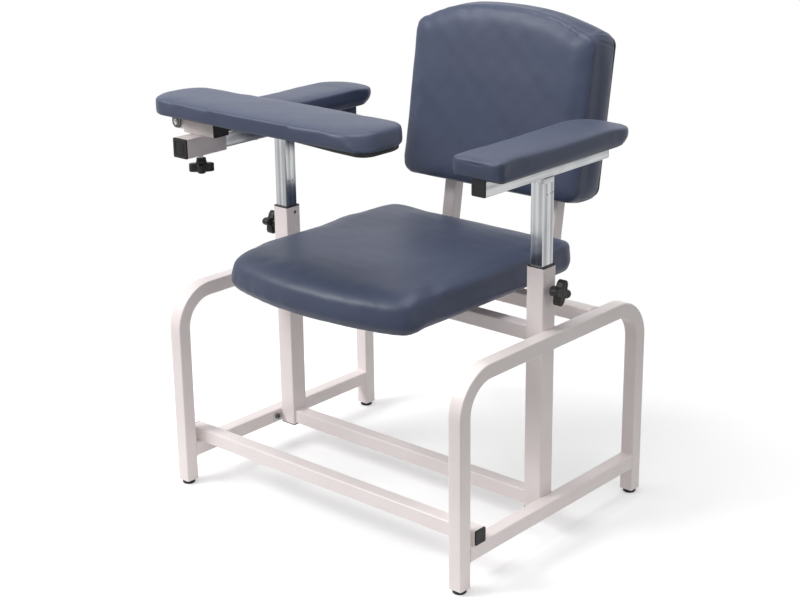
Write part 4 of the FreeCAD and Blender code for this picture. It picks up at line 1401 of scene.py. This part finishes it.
@dataclass
class Cushion:
    """A pad of foam on a board, wrapped in vinyl.

    The cloth starts as the CAD form, is moulded as the photograph shows, and a
    pressure swells it.
    """

    name: str
    node: str
    body: str
    board: str
    voxel: float = 0.0045
    shrink: float = 0.2 * MM
    rounding: int = 4
    softer: int = 0
    pressure: float = 4.0
    cap: float = 4.0 * MM
    ironing: int = 10
    frames: int = 20
    release: tuple[float, float] = (2.0 * MM, 7.0 * MM)
    long_wave: tuple[float, float] = (0.45 * MM, 0.21)
    short_wave: tuple[float, float] = (0.16 * MM, 0.055)
    board_reach: float = 12.0 * MM
    clearance: float = 0.4 * MM
    fill: float = 0.75
    base_axis: Vector = Vector((0.0, 0.0, 1.0))
    base_depth: float = 3.5 * MM
    own_frame: Matrix = Matrix()
    stretched: tuple[bool, bool, bool] = (True, True, True)
    seed: int = 3
    folds: tuple[Fold, ...] = ()

    def build(self) -> None:
        """Make the pad."""
        mesh = merged(self.node)
        self.base_height = min(v.co.dot(self.base_axis) for v in mesh.verts)
        bmesh.ops.transform(mesh, matrix=self.own_frame.inverted(), verts=mesh.verts)
        data = bpy.data.meshes.new(self.name)
        mesh.to_mesh(data)
        mesh.free()
        self.find_board()
        pad = placed(self.name, data)
        remesh = pad.modifiers.new("even", "REMESH")
        remesh.mode = "VOXEL"
        remesh.voxel_size = self.voxel
        self.apply(pad)
        pad.data.transform(self.own_frame)
        self.round_off(pad)
        skin = Skin(pad)
        self.mould(skin)
        skin.write()
        self.swell(pad)
        surface = pad.modifiers.new("smooth", "SUBSURF")
        surface.levels = surface.render_levels = 1
        self.apply(pad)
        skin = Skin(pad)
        self.fit(skin)
        self.detail(skin)
        skin.write()
        self.clear_board(pad)
        hand_over(pad, Slot.VINYL, self.body, (self.node,))

    @staticmethod
    def apply(pad: bpy.types.Object) -> None:
        """Bake a pad's modifiers into its mesh.

        Args:
            pad: The pad.
        """
        graph = bpy.context.evaluated_depsgraph_get()
        baked = bpy.data.meshes.new_from_object(pad.evaluated_get(graph))
        pad.modifiers.clear()
        old, pad.data = pad.data, baked
        bpy.data.meshes.remove(old)

    def find_board(self) -> None:
        """Prepare the board's surface for distance tests."""
        mesh = bmesh.new()
        mesh.from_mesh(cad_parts[self.board].data)
        self.board_tree = BVHTree.FromBMesh(mesh)
        mesh.free()

    def fit(self, skin: Skin) -> None:
        """Stretch the finished pad to the box of its CAD form, except below its base.

        Args:
            skin: The pad's skin.
        """
        low, high = (np.array(corner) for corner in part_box(self.node))
        start, end = skin.points.min(axis=0), skin.points.max(axis=0)
        start[2] = low[2]
        share = np.where(self.stretched, (high - low) / (end - start), 1.0)
        start = np.where(self.stretched, start, low)
        above = skin.points[:, 2] > low[2]
        fitted = low + (skin.points - start) * share
        skin.points[:, :2] = fitted[:, :2]
        skin.points[above, 2] = fitted[above, 2]

    def held(self, point: Vector) -> bool:
        """Tell if a point lies on the base or on a wall of the board's pocket.

        Args:
            point: The point.

        Returns:
            Whether it is held there.
        """
        if point.dot(self.base_axis) - self.base_height < self.base_depth:
            return True
        return self.board_tree.find_nearest(point, 1.1 * self.voxel)[0] is not None

    def soft(self, point: Vector, share: float) -> bool:
        """Tell if a point still rolls over when a share of the softening is done."""
        return False

    def round_off(self, pad: bpy.types.Object) -> None:
        """Round the edges and draw the skin in a little, but keep the base flat.

        Args:
            pad: The pad.
        """
        mesh = bmesh.new()
        mesh.from_mesh(pad.data)
        base = {v: v.co.copy() for v in mesh.verts if self.held(v.co)}
        for _ in range(self.rounding):
            relax(mesh, mesh.verts)
        rolled: list[bmesh.types.BMVert] = []
        for turn in range(self.softer):
            if turn % 8 == 0:
                share = turn / self.softer
                rolled = [v for v in mesh.verts if v not in base and self.soft(v.co, share)]
            relax(mesh, rolled)
        for vert, start in base.items():
            vert.co += self.base_axis * (start - vert.co).dot(self.base_axis)
        mesh.normal_update()
        for vert in mesh.verts:
            if vert not in base:
                vert.co -= vert.normal * self.shrink
        mesh.to_mesh(pad.data)
        mesh.free()

    def swell(self, pad: bpy.types.Object) -> None:
        """Blow the pad up as cloth, and cap and iron how far each point moves.

        Args:
            pad: The pad.
        """
        start = [v.co.copy() for v in pad.data.vertices]
        held = pad.vertex_groups.new(name="held")
        held.add([i for i, point in enumerate(start) if self.held(point)], 1.0, "REPLACE")
        cloth = pad.modifiers.new("cloth", "CLOTH")
        settings = cloth.settings
        settings.quality = 4
        settings.mass = 0.4
        settings.tension_stiffness = 25.0
        settings.compression_stiffness = 6.0
        settings.bending_stiffness = 18.0
        settings.use_pressure = True
        settings.uniform_pressure_force = self.pressure
        settings.effector_weights.gravity = 0.0
        settings.vertex_group_mass = "held"
        cloth.collision_settings.use_collision = False
        scene = bpy.context.scene
        for number in range(1, self.frames + 1):
            scene.frame_set(number)
        graph = bpy.context.evaluated_depsgraph_get()
        swollen = pad.evaluated_get(graph).to_mesh()
        moved = np.array([v.co for v in swollen.vertices]) - np.array(start)
        pad.evaluated_get(graph).to_mesh_clear()
        pad.modifiers.clear()
        pad.vertex_groups.clear()
        length = np.linalg.norm(moved, axis=1)
        moved *= (np.minimum(length, self.cap) / np.maximum(length, 1e-9))[:, None]
        pairs = np.array([edge.vertices[:] for edge in pad.data.edges])
        neighbours = np.bincount(pairs.ravel(), minlength=len(moved))[:, None]
        for _ in range(self.ironing):
            around = np.zeros_like(moved)
            np.add.at(around, pairs[:, 0], moved[pairs[:, 1]])
            np.add.at(around, pairs[:, 1], moved[pairs[:, 0]])
            moved = 0.5 * moved + 0.5 * around / neighbours
        skin = Skin(pad)
        skin.points += moved
        skin.write()
        scene.frame_set(1)

    def clear_board(self, pad: bpy.types.Object) -> None:
        """Bring back every point that has come through the pocket onto the board.

        Args:
            pad: The pad.
        """
        for vert in pad.data.vertices:
            place, normal, _, _ = self.board_tree.find_nearest(vert.co, self.board_reach)
            if place is None:
                continue
            offset = vert.co - place
            if offset.dot(normal) < -0.6 * offset.length:
                vert.co = place + normal * self.clearance
        pad.data.update()

    def free(self, skin: Skin) -> np.ndarray:
        """Give 0 on the base, rising to 1 a little above it."""
        height = skin.points @ np.array(self.base_axis) - self.base_height
        return rise(height, *self.release)

    def mould(self, skin: Skin) -> None:
        """Shape the pad before the cloth step; plain pads keep the CAD form."""

    def detail(self, skin: Skin) -> None:
        """Let the skin wave and press in the folds.

        Args:
            skin: The pad's skin.
        """
        free = self.free(skin)
        skin.wave(*self.long_wave, free, self.seed)
        skin.wave(*self.short_wave, free, self.seed + 1)
        for fold in self.folds:
            skin.crease(fold, free)


@dataclass
class SeatCushion(Cushion):
    """The seat: its front edge rolls over and hangs a little below the board."""

    skirt_drop: float = 0.0098
    front_drop: float = 0.003
    rear_drop: float = 0.004

    def mould(self, skin: Skin) -> None:
        """Lower the front skirt and the crown's front and rear edges.

        Args:
            skin: The pad's skin.
        """
        x, y, z = skin.points.T
        front = rise(-y, 0.212, 0.268)
        low = 1.0 - rise(z, 0.488, 0.520)
        top = rise(z, 0.500, 0.535)
        skin.points[:, 2] -= self.skirt_drop * front * low
        skin.points[:, 2] -= self.front_drop * rise(-y, 0.215, 0.300) * top
        middle = 1.0 - 0.6 * (x / 0.25) ** 2
        skin.points[:, 2] -= self.rear_drop * rise(y, 0.160, 0.250) * top * middle

    def soft(self, point: Vector, share: float) -> bool:
        """Roll the front's top edge, with a gentle start behind it."""
        return point.y < -0.170 - 0.075 * share and point.z > 0.494 + 0.010 * share

    def free(self, skin: Skin) -> np.ndarray:
        """Free the hanging front skirt as well."""
        return np.maximum(super().free(skin), rise(-skin.points[:, 1], 0.268, 0.285))


@dataclass
class BackCushion(Cushion):
    """The backrest, which leans back with its soft front edge rolled."""

    crown_fall: float = 0.041
    half_width: float = 0.24
    edge_roll: float = 0.0020
    corner_fall: float = 0.0095
    top_fall: float = 0.001

    def mould(self, skin: Skin) -> None:
        """Roll the front edge all round the outline and lower the front corners.

        Args:
            skin: The pad's skin.
        """
        local = skin.points - np.array(BACK_FOOT)
        along = local @ np.array(BACK_UP)
        depth = local @ np.array(BACK_REAR)
        x = np.abs(local[:, 0])
        crown = BACK_HEIGHT - self.crown_fall * (x / self.half_width) ** 2
        side = rise(x, 0.200, 0.240) * (0.35 + 0.65 * rise(along, 0.20, 0.36))
        top = rise(along - crown, -0.030, 0.0)
        edge = np.maximum(side, 0.6 * top)
        front = 1.0 - rise(depth, 0.0, 0.045)
        skin.points += np.outer(edge * front * self.edge_roll, np.array(BACK_REAR))
        corner = rise(x, 0.120, 0.236) * rise(along - crown, -0.070, -0.005)
        forward = 1.0 - rise(depth, 0.020, 0.075)
        fall = top * front * self.top_fall + corner * forward * self.corner_fall
        skin.points -= np.outer(fall, np.array(BACK_UP))


@dataclass
class ArmCushion(Cushion):
    """An arm pad that widens slightly to the rear."""

    side: int = 1
    front: float = -0.197
    rear: float = 0.220
    top: float = 0.807
    front_width: float = 0.945
    widening: float = 0.075
    rear_drop: float = 0.0045

    def mould(self, skin: Skin) -> None:
        """Narrow the front, widen the rear and round the rear's top edge.

        Args:
            skin: The pad's skin.
        """
        x, y, z = skin.points.T
        middle = self.side * UPRIGHT_X
        along = (y - self.front) / (self.rear - self.front)
        width = self.front_width + self.widening * rise(along, 0.0, 0.75)
        above = rise(z, self.top - 0.036, self.top - 0.020)
        scale = 1.0 + (width - 1.0) * above
        skin.points[:, 0] = middle + (x - middle) * scale
        crest = rise(z, self.top - 0.020, self.top - 0.004)
        skin.points[:, 2] -= self.rear_drop * rise(along, 0.80, 1.0) * crest


def pleats(
    corner: tuple[float, float], radius: float, heading: float, low: float, high: float,
    count: int = 3, spread: float = 58.0,
) -> list[Fold]:
    """List the short upright folds where the vinyl is gathered round a corner.

    Args:
        corner: The middle of the corner's rounding.
        radius: Its radius at the skin.
        heading: Where the corner points, in degrees from +X.
        low: The folds' lower end.
        high: The tallest fold's upper end.
        count: How many folds there are.
        spread: The angle between the outer two, in degrees.

    Returns:
        The folds.
    """
    folds = []
    for index in range(count):
        share = index / (count - 1) - 0.5
        angle = math.radians(heading + share * spread)
        x, y = corner[0] + radius * math.cos(angle), corner[1] + radius * math.sin(angle)
        crest = high if index % 2 else low + (high - low) * 0.66
        lean_x, lean_y = -share * 0.012 * math.sin(angle), share * 0.012 * math.cos(angle)
        points = (
            (x, y, low - 0.004),
            (x + lean_x * 0.5, y + lean_y * 0.5, (low + crest) / 2),
            (x + lean_x, y + lean_y, crest),
        )
        folds.append(Fold(points, 2.0 * MM, 1.3 * MM))
    return folds


def seat_folds() -> tuple[Fold, ...]:
    """List the seat's folds.

    Returns:
        The folds of its corners.
    """
    folds: list[Fold] = []
    for side in SIDES:
        for points, width, depth in (
            (((0.226, -0.268, 0.534), (0.241, -0.288, 0.515), (0.243, -0.290, 0.494),
              (0.236, -0.284, 0.468)), 3.0 * MM, 2.4 * MM),
            (((0.250, -0.262, 0.498), (0.247, -0.270, 0.482), (0.238, -0.272, 0.464)),
             2.2 * MM, 1.2 * MM),
        ):
            folds.append(Fold(tuple((side * x, y, z) for x, y, z in points), width, depth))
        folds += pleats((side * 0.214, 0.216), 0.034, 45 if side > 0 else 135, 0.472, 0.508)
    return tuple(folds)


def arm_folds(side: int, front: float, rear: float, base: float) -> tuple[Fold, ...]:
    """List an arm pad's folds.

    Args:
        side: 1 for the left pad and -1 for the right one.
        front: The pad's front.
        rear: Its rear.
        base: The height of its base.

    Returns:
        The folds.
    """
    middle = side * UPRIGHT_X
    top = base + 0.041
    folds = [
        Fold(((middle - 0.052, front + 0.010, top - 0.003), (middle, front + 0.004, top - 0.0045),
              (middle + 0.052, front + 0.010, top - 0.005)), 1.8 * MM, 1.1 * MM),
        Fold(((middle - 0.045, front + 0.003, top - 0.0105), (middle, front + 0.001, top - 0.012),
              (middle + 0.050, front + 0.004, top - 0.0125)), 1.7 * MM, 0.9 * MM),
    ]
    for edge in SIDES:
        x = middle + edge * 0.055
        folds.append(Fold(
            ((x, front + 0.007, top - 0.006), (x + edge * 0.001, front + 0.006, base + 0.020),
             (x - edge * 0.002, front + 0.009, base - 0.002)), 2.2 * MM, 1.8 * MM,
        ))
        heading = 60 if edge > 0 else 120
        folds += pleats((middle + edge * 0.024, rear - 0.040), 0.037, heading, base, base + 0.022)
    return tuple(folds)


def back_folds() -> tuple[Fold, ...]:
    """List the backrest's folds, from places in width, height and depth.

    Returns:
        The folds of its corners.
    """
    folds = []
    for side in SIDES:
        for places, width, depth in (
            (((0.214, 0.352, 0.012), (0.222, 0.354, 0.040), (0.224, 0.352, 0.086)), 3.0, 1.8),
            (((0.232, 0.336, 0.030), (0.236, 0.330, 0.060), (0.233, 0.324, 0.092)), 2.4, 1.3),
            (((0.226, 0.010, 0.030), (0.230, 0.010, 0.060), (0.228, 0.012, 0.092)), 2.4, 1.5),
        ):
            points = tuple(
                tuple(BACK_FOOT + Vector((side * x, 0, 0)) + BACK_UP * up + BACK_REAR * rear)
                for x, up, rear in places
            )
            folds.append(Fold(points, width * MM, depth * MM))
    return tuple(folds)


def cushions() -> list[Cushion]:
    """List the chair's pads."""
    return [
        SeatCushion(
            "vinyl_seat_cushion", "seat_cushion", "chair", "seat_board", voxel=6.0 * MM,
            softer=64, shrink=-2.0 * MM, cap=4.5 * MM, folds=seat_folds(),
        ),
        BackCushion(
            "vinyl_back_cushion", "back_cushion", "chair", "back_board", voxel=6.0 * MM,
            rounding=3, shrink=-1.6 * MM, cap=4.5 * MM, stretched=(True, False, False),
            own_frame=Matrix((Vector((1.0, 0.0, 0.0)), BACK_REAR, BACK_UP)).transposed().to_4x4(),
            base_axis=-BACK_REAR, seed=11, folds=back_folds(),
        ),
        ArmCushion(
            "vinyl_left_arm_cushion", "left_arm_cushion", "left_armrest", "left_arm_board",
            seed=19, folds=arm_folds(1, -0.197, 0.220, 0.766),
        ),
        ArmCushion(
            "vinyl_right_arm_cushion", "right_arm_cushion", "right_armrest", "right_arm_board",
            seed=29, folds=arm_folds(-1, -0.125, 0.236, 0.756),
            side=-1, front=-0.125, rear=0.236, top=0.797,
        ),
        Cushion(
            "vinyl_drawing_cushion", "drawing_cushion", "drawing_pad", "drawing_board",
            voxel=4.0 * MM, rounding=6, shrink=-0.4 * MM, cap=3.0 * MM, ironing=24, seed=37,
        ),
    ]


@dataclass
class PadTray:
    """The black board under the drawing pad, which thickens to its inner end."""

    outer_end: float = -0.280
    bends: tuple[float, ...] = (-0.16, -0.05, 0.02, 0.08, 0.13)
    thickening: tuple[float, float] = (-0.10, 0.14)
    board_middle: float = 0.806
    spread: float = 0.060
    undercut: float = 0.03
    overhang: float = 0.004
    top: float = 0.8031
    thin: float = 1.2 * MM
    thick: float = 8.0 * MM

    def build(self) -> None:
        """Cut the tray from the board's outline and let its lower face fall."""
        mesh = merged("drawing_board")
        cut = bmesh.ops.bisect_plane(
            mesh, geom=mesh.verts[:] + mesh.edges[:] + mesh.faces[:],
            plane_co=(self.outer_end, 0, 0), plane_no=(-1, 0, 0), clear_outer=True,
        )
        rim = [item for item in cut["geom_cut"] if isinstance(item, bmesh.types.BMEdge)]
        bmesh.ops.holes_fill(mesh, edges=rim)
        join_flats(mesh)
        for place in self.bends:
            bmesh.ops.bisect_plane(
                mesh, geom=mesh.verts[:] + mesh.edges[:] + mesh.faces[:],
                plane_co=(place, 0, 0), plane_no=(1, 0, 0),
            )
        for vert in mesh.verts:
            share = float(rise(vert.co.x, *self.thickening))
            low = vert.co.z < self.board_middle
            spread = 1.0 + self.spread * share - self.undercut * low
            vert.co.y = PAD_Y + (vert.co.y - PAD_Y) * spread
            vert.co.x += self.overhang * share
            drop = self.thin + (self.thick - self.thin) * share
            vert.co.z = self.top - drop * low
        round_crisp(mesh, 0.9 * MM)
        finished("drawing_pad_tray", mesh, Slot.PLASTIC, "drawing_pad", (), 35.0)


# ------------------------------------------------------------ the studio


@dataclass(frozen=True)
class Softbox:
    """An area lamp that faces a point."""

    name: str
    power: float
    size: tuple[float, float]
    place: tuple[float, float, float]
    aim: tuple[float, float, float] = (0.0, 0.0, 0.5)

    def hang(self) -> None:
        """Add the lamp to the scene."""
        light = bpy.data.lights.new(self.name, "AREA")
        light.shape = "RECTANGLE"
        light.size, light.size_y = self.size
        light.energy = self.power
        lamp = placed(self.name, light)
        lamp.location = self.place
        away = Vector(self.place) - Vector(self.aim)
        lamp.rotation_euler = away.to_track_quat("Z", "Y").to_euler()


@dataclass
class Studio:
    """The white floor, the softboxes and the camera of the photograph."""

    floor_size: float = 60.0
    floor_colour: Colour = (0.80, 0.80, 0.80)
    near_glow: float = 0.38
    shadow_reach: tuple[float, float] = (0.65, 1.30)
    ambient: float = 0.40
    softboxes: tuple[Softbox, ...] = (
        Softbox("key", 76.0, (1.5, 1.2), (-1.6, -2.1, 2.5)),
        Softbox("fill", 9.0, (1.6, 2.0), (2.8, -0.6, 1.5)),
        Softbox("top", 40.0, (1.4, 1.4), (-0.1, -0.1, 3.0), (0.0, 0.0, 0.4)),
    )
    azimuth: float = 0.7203
    elevation: float = 0.3213
    roll: float = -0.0117
    position: tuple[float, float, float] = (2.0658, -2.3552, 1.4856)
    principal: tuple[float, float] = (404.38, 288.89)
    image_size: tuple[int, int] = (800, 597)
    focal_pixels: float = 1614.85
    sensor_width: float = 36.0

    @staticmethod
    def shown(graph: Graph) -> Value:
        """Tell rays that see the background from rays that light the chair.

        Args:
            graph: The graph to add to.

        Returns:
            1 for rays that see it, and 0 for the others.
        """
        rays = graph.node("ShaderNodeLightPath")
        outputs = rays.socket.node.outputs
        names = ("Is Camera Ray", "Is Glossy Ray", "Is Transmission Ray")
        seen = [Value(graph, outputs[name]) for name in names]
        return (seen[0] + seen[1] + seen[2]).least(1.0)

    def floor(self) -> None:
        """Lay a white floor that keeps the chair's shadow and glows white far off."""
        mesh = bmesh.new()
        bmesh.ops.create_grid(mesh, x_segments=1, y_segments=1, size=self.floor_size / 2)
        data = bpy.data.meshes.new("floor")
        mesh.to_mesh(data)
        mesh.free()
        floor = placed("floor", data)
        graph = Graph.material("white_floor")
        matt = {"Color": self.floor_colour, "Roughness": 0.5}
        diffuse = graph.node("ShaderNodeBsdfDiffuse", None, matt)
        shown = self.shown(graph)
        glow, far = (
            graph.node("ShaderNodeEmission", None, {"Color": WHITE, "Strength": shown * strength})
            for strength in (self.near_glow, 1.0)
        )
        near = graph.node("ShaderNodeAddShader", None, {0: diffuse, 1: glow})
        distance = graph.node(
            "ShaderNodeVectorMath", {"operation": "LENGTH"}, {0: graph.place()}, "Value"
        )
        share = distance.step(*self.shadow_reach)
        mixed = graph.node("ShaderNodeMixShader", None, {0: share, 1: near, 2: far})
        data.materials.append(graph.end(mixed, "ShaderNodeOutputMaterial"))

    def world(self) -> None:
        """Light the room softly, and show it white."""
        graph = Graph(bpy.data.worlds.new("studio"))
        bpy.context.scene.world = graph.owner
        ambient, white = (
            graph.node("ShaderNodeBackground", None, {"Color": WHITE, "Strength": strength})
            for strength in (self.ambient, 1.0)
        )
        inputs = {0: self.shown(graph), 1: ambient, 2: white}
        graph.end(graph.node("ShaderNodeMixShader", None, inputs), "ShaderNodeOutputWorld")

    def camera(self) -> None:
        """Set the camera where the photograph was taken from."""
        a, e, r = self.azimuth, self.elevation, self.roll
        back = Vector((math.sin(a) * math.cos(e), -math.cos(a) * math.cos(e), math.sin(e)))
        level = Vector((math.cos(a), math.sin(a), 0.0))
        upright = back.cross(level)
        right = level * math.cos(r) + upright * math.sin(r)
        up = upright * math.cos(r) - level * math.sin(r)
        width, height = self.image_size
        lens = bpy.data.cameras.new("camera")
        lens.sensor_fit = "HORIZONTAL"
        lens.sensor_width = self.sensor_width
        lens.lens = self.sensor_width * self.focal_pixels / width
        lens.shift_x = (width / 2 - self.principal[0]) / width
        lens.shift_y = (self.principal[1] - height / 2) / width
        camera = placed("camera", lens)
        turn = Matrix((right, up, back)).transposed().to_4x4()
        camera.matrix_world = Matrix.Translation(self.position) @ turn
        bpy.context.scene.camera = camera

    def build(self) -> None:
        """Set up the whole studio."""
        bpy.context.scene.view_settings.view_transform = "Standard"
        self.floor()
        self.world()
        for softbox in self.softboxes:
            softbox.hang()
        self.camera()


def main() -> None:
    """Build the studio and every piece."""
    logging.basicConfig(level=logging.INFO, format="%(message)s")
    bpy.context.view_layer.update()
    Studio().build()
    WARDROBE.dress_nodes()
    for part in (
        SoftEdges(), Feet(), TubeCaps(), SleeveCap(), *star_knobs(), Fasteners(), PadPivot(),
        Welds(), PostMarks(), SeatUnderside(), PadTray(), *cushions(),
    ):
        part.build()


if __name__ == "__main__":
    main()
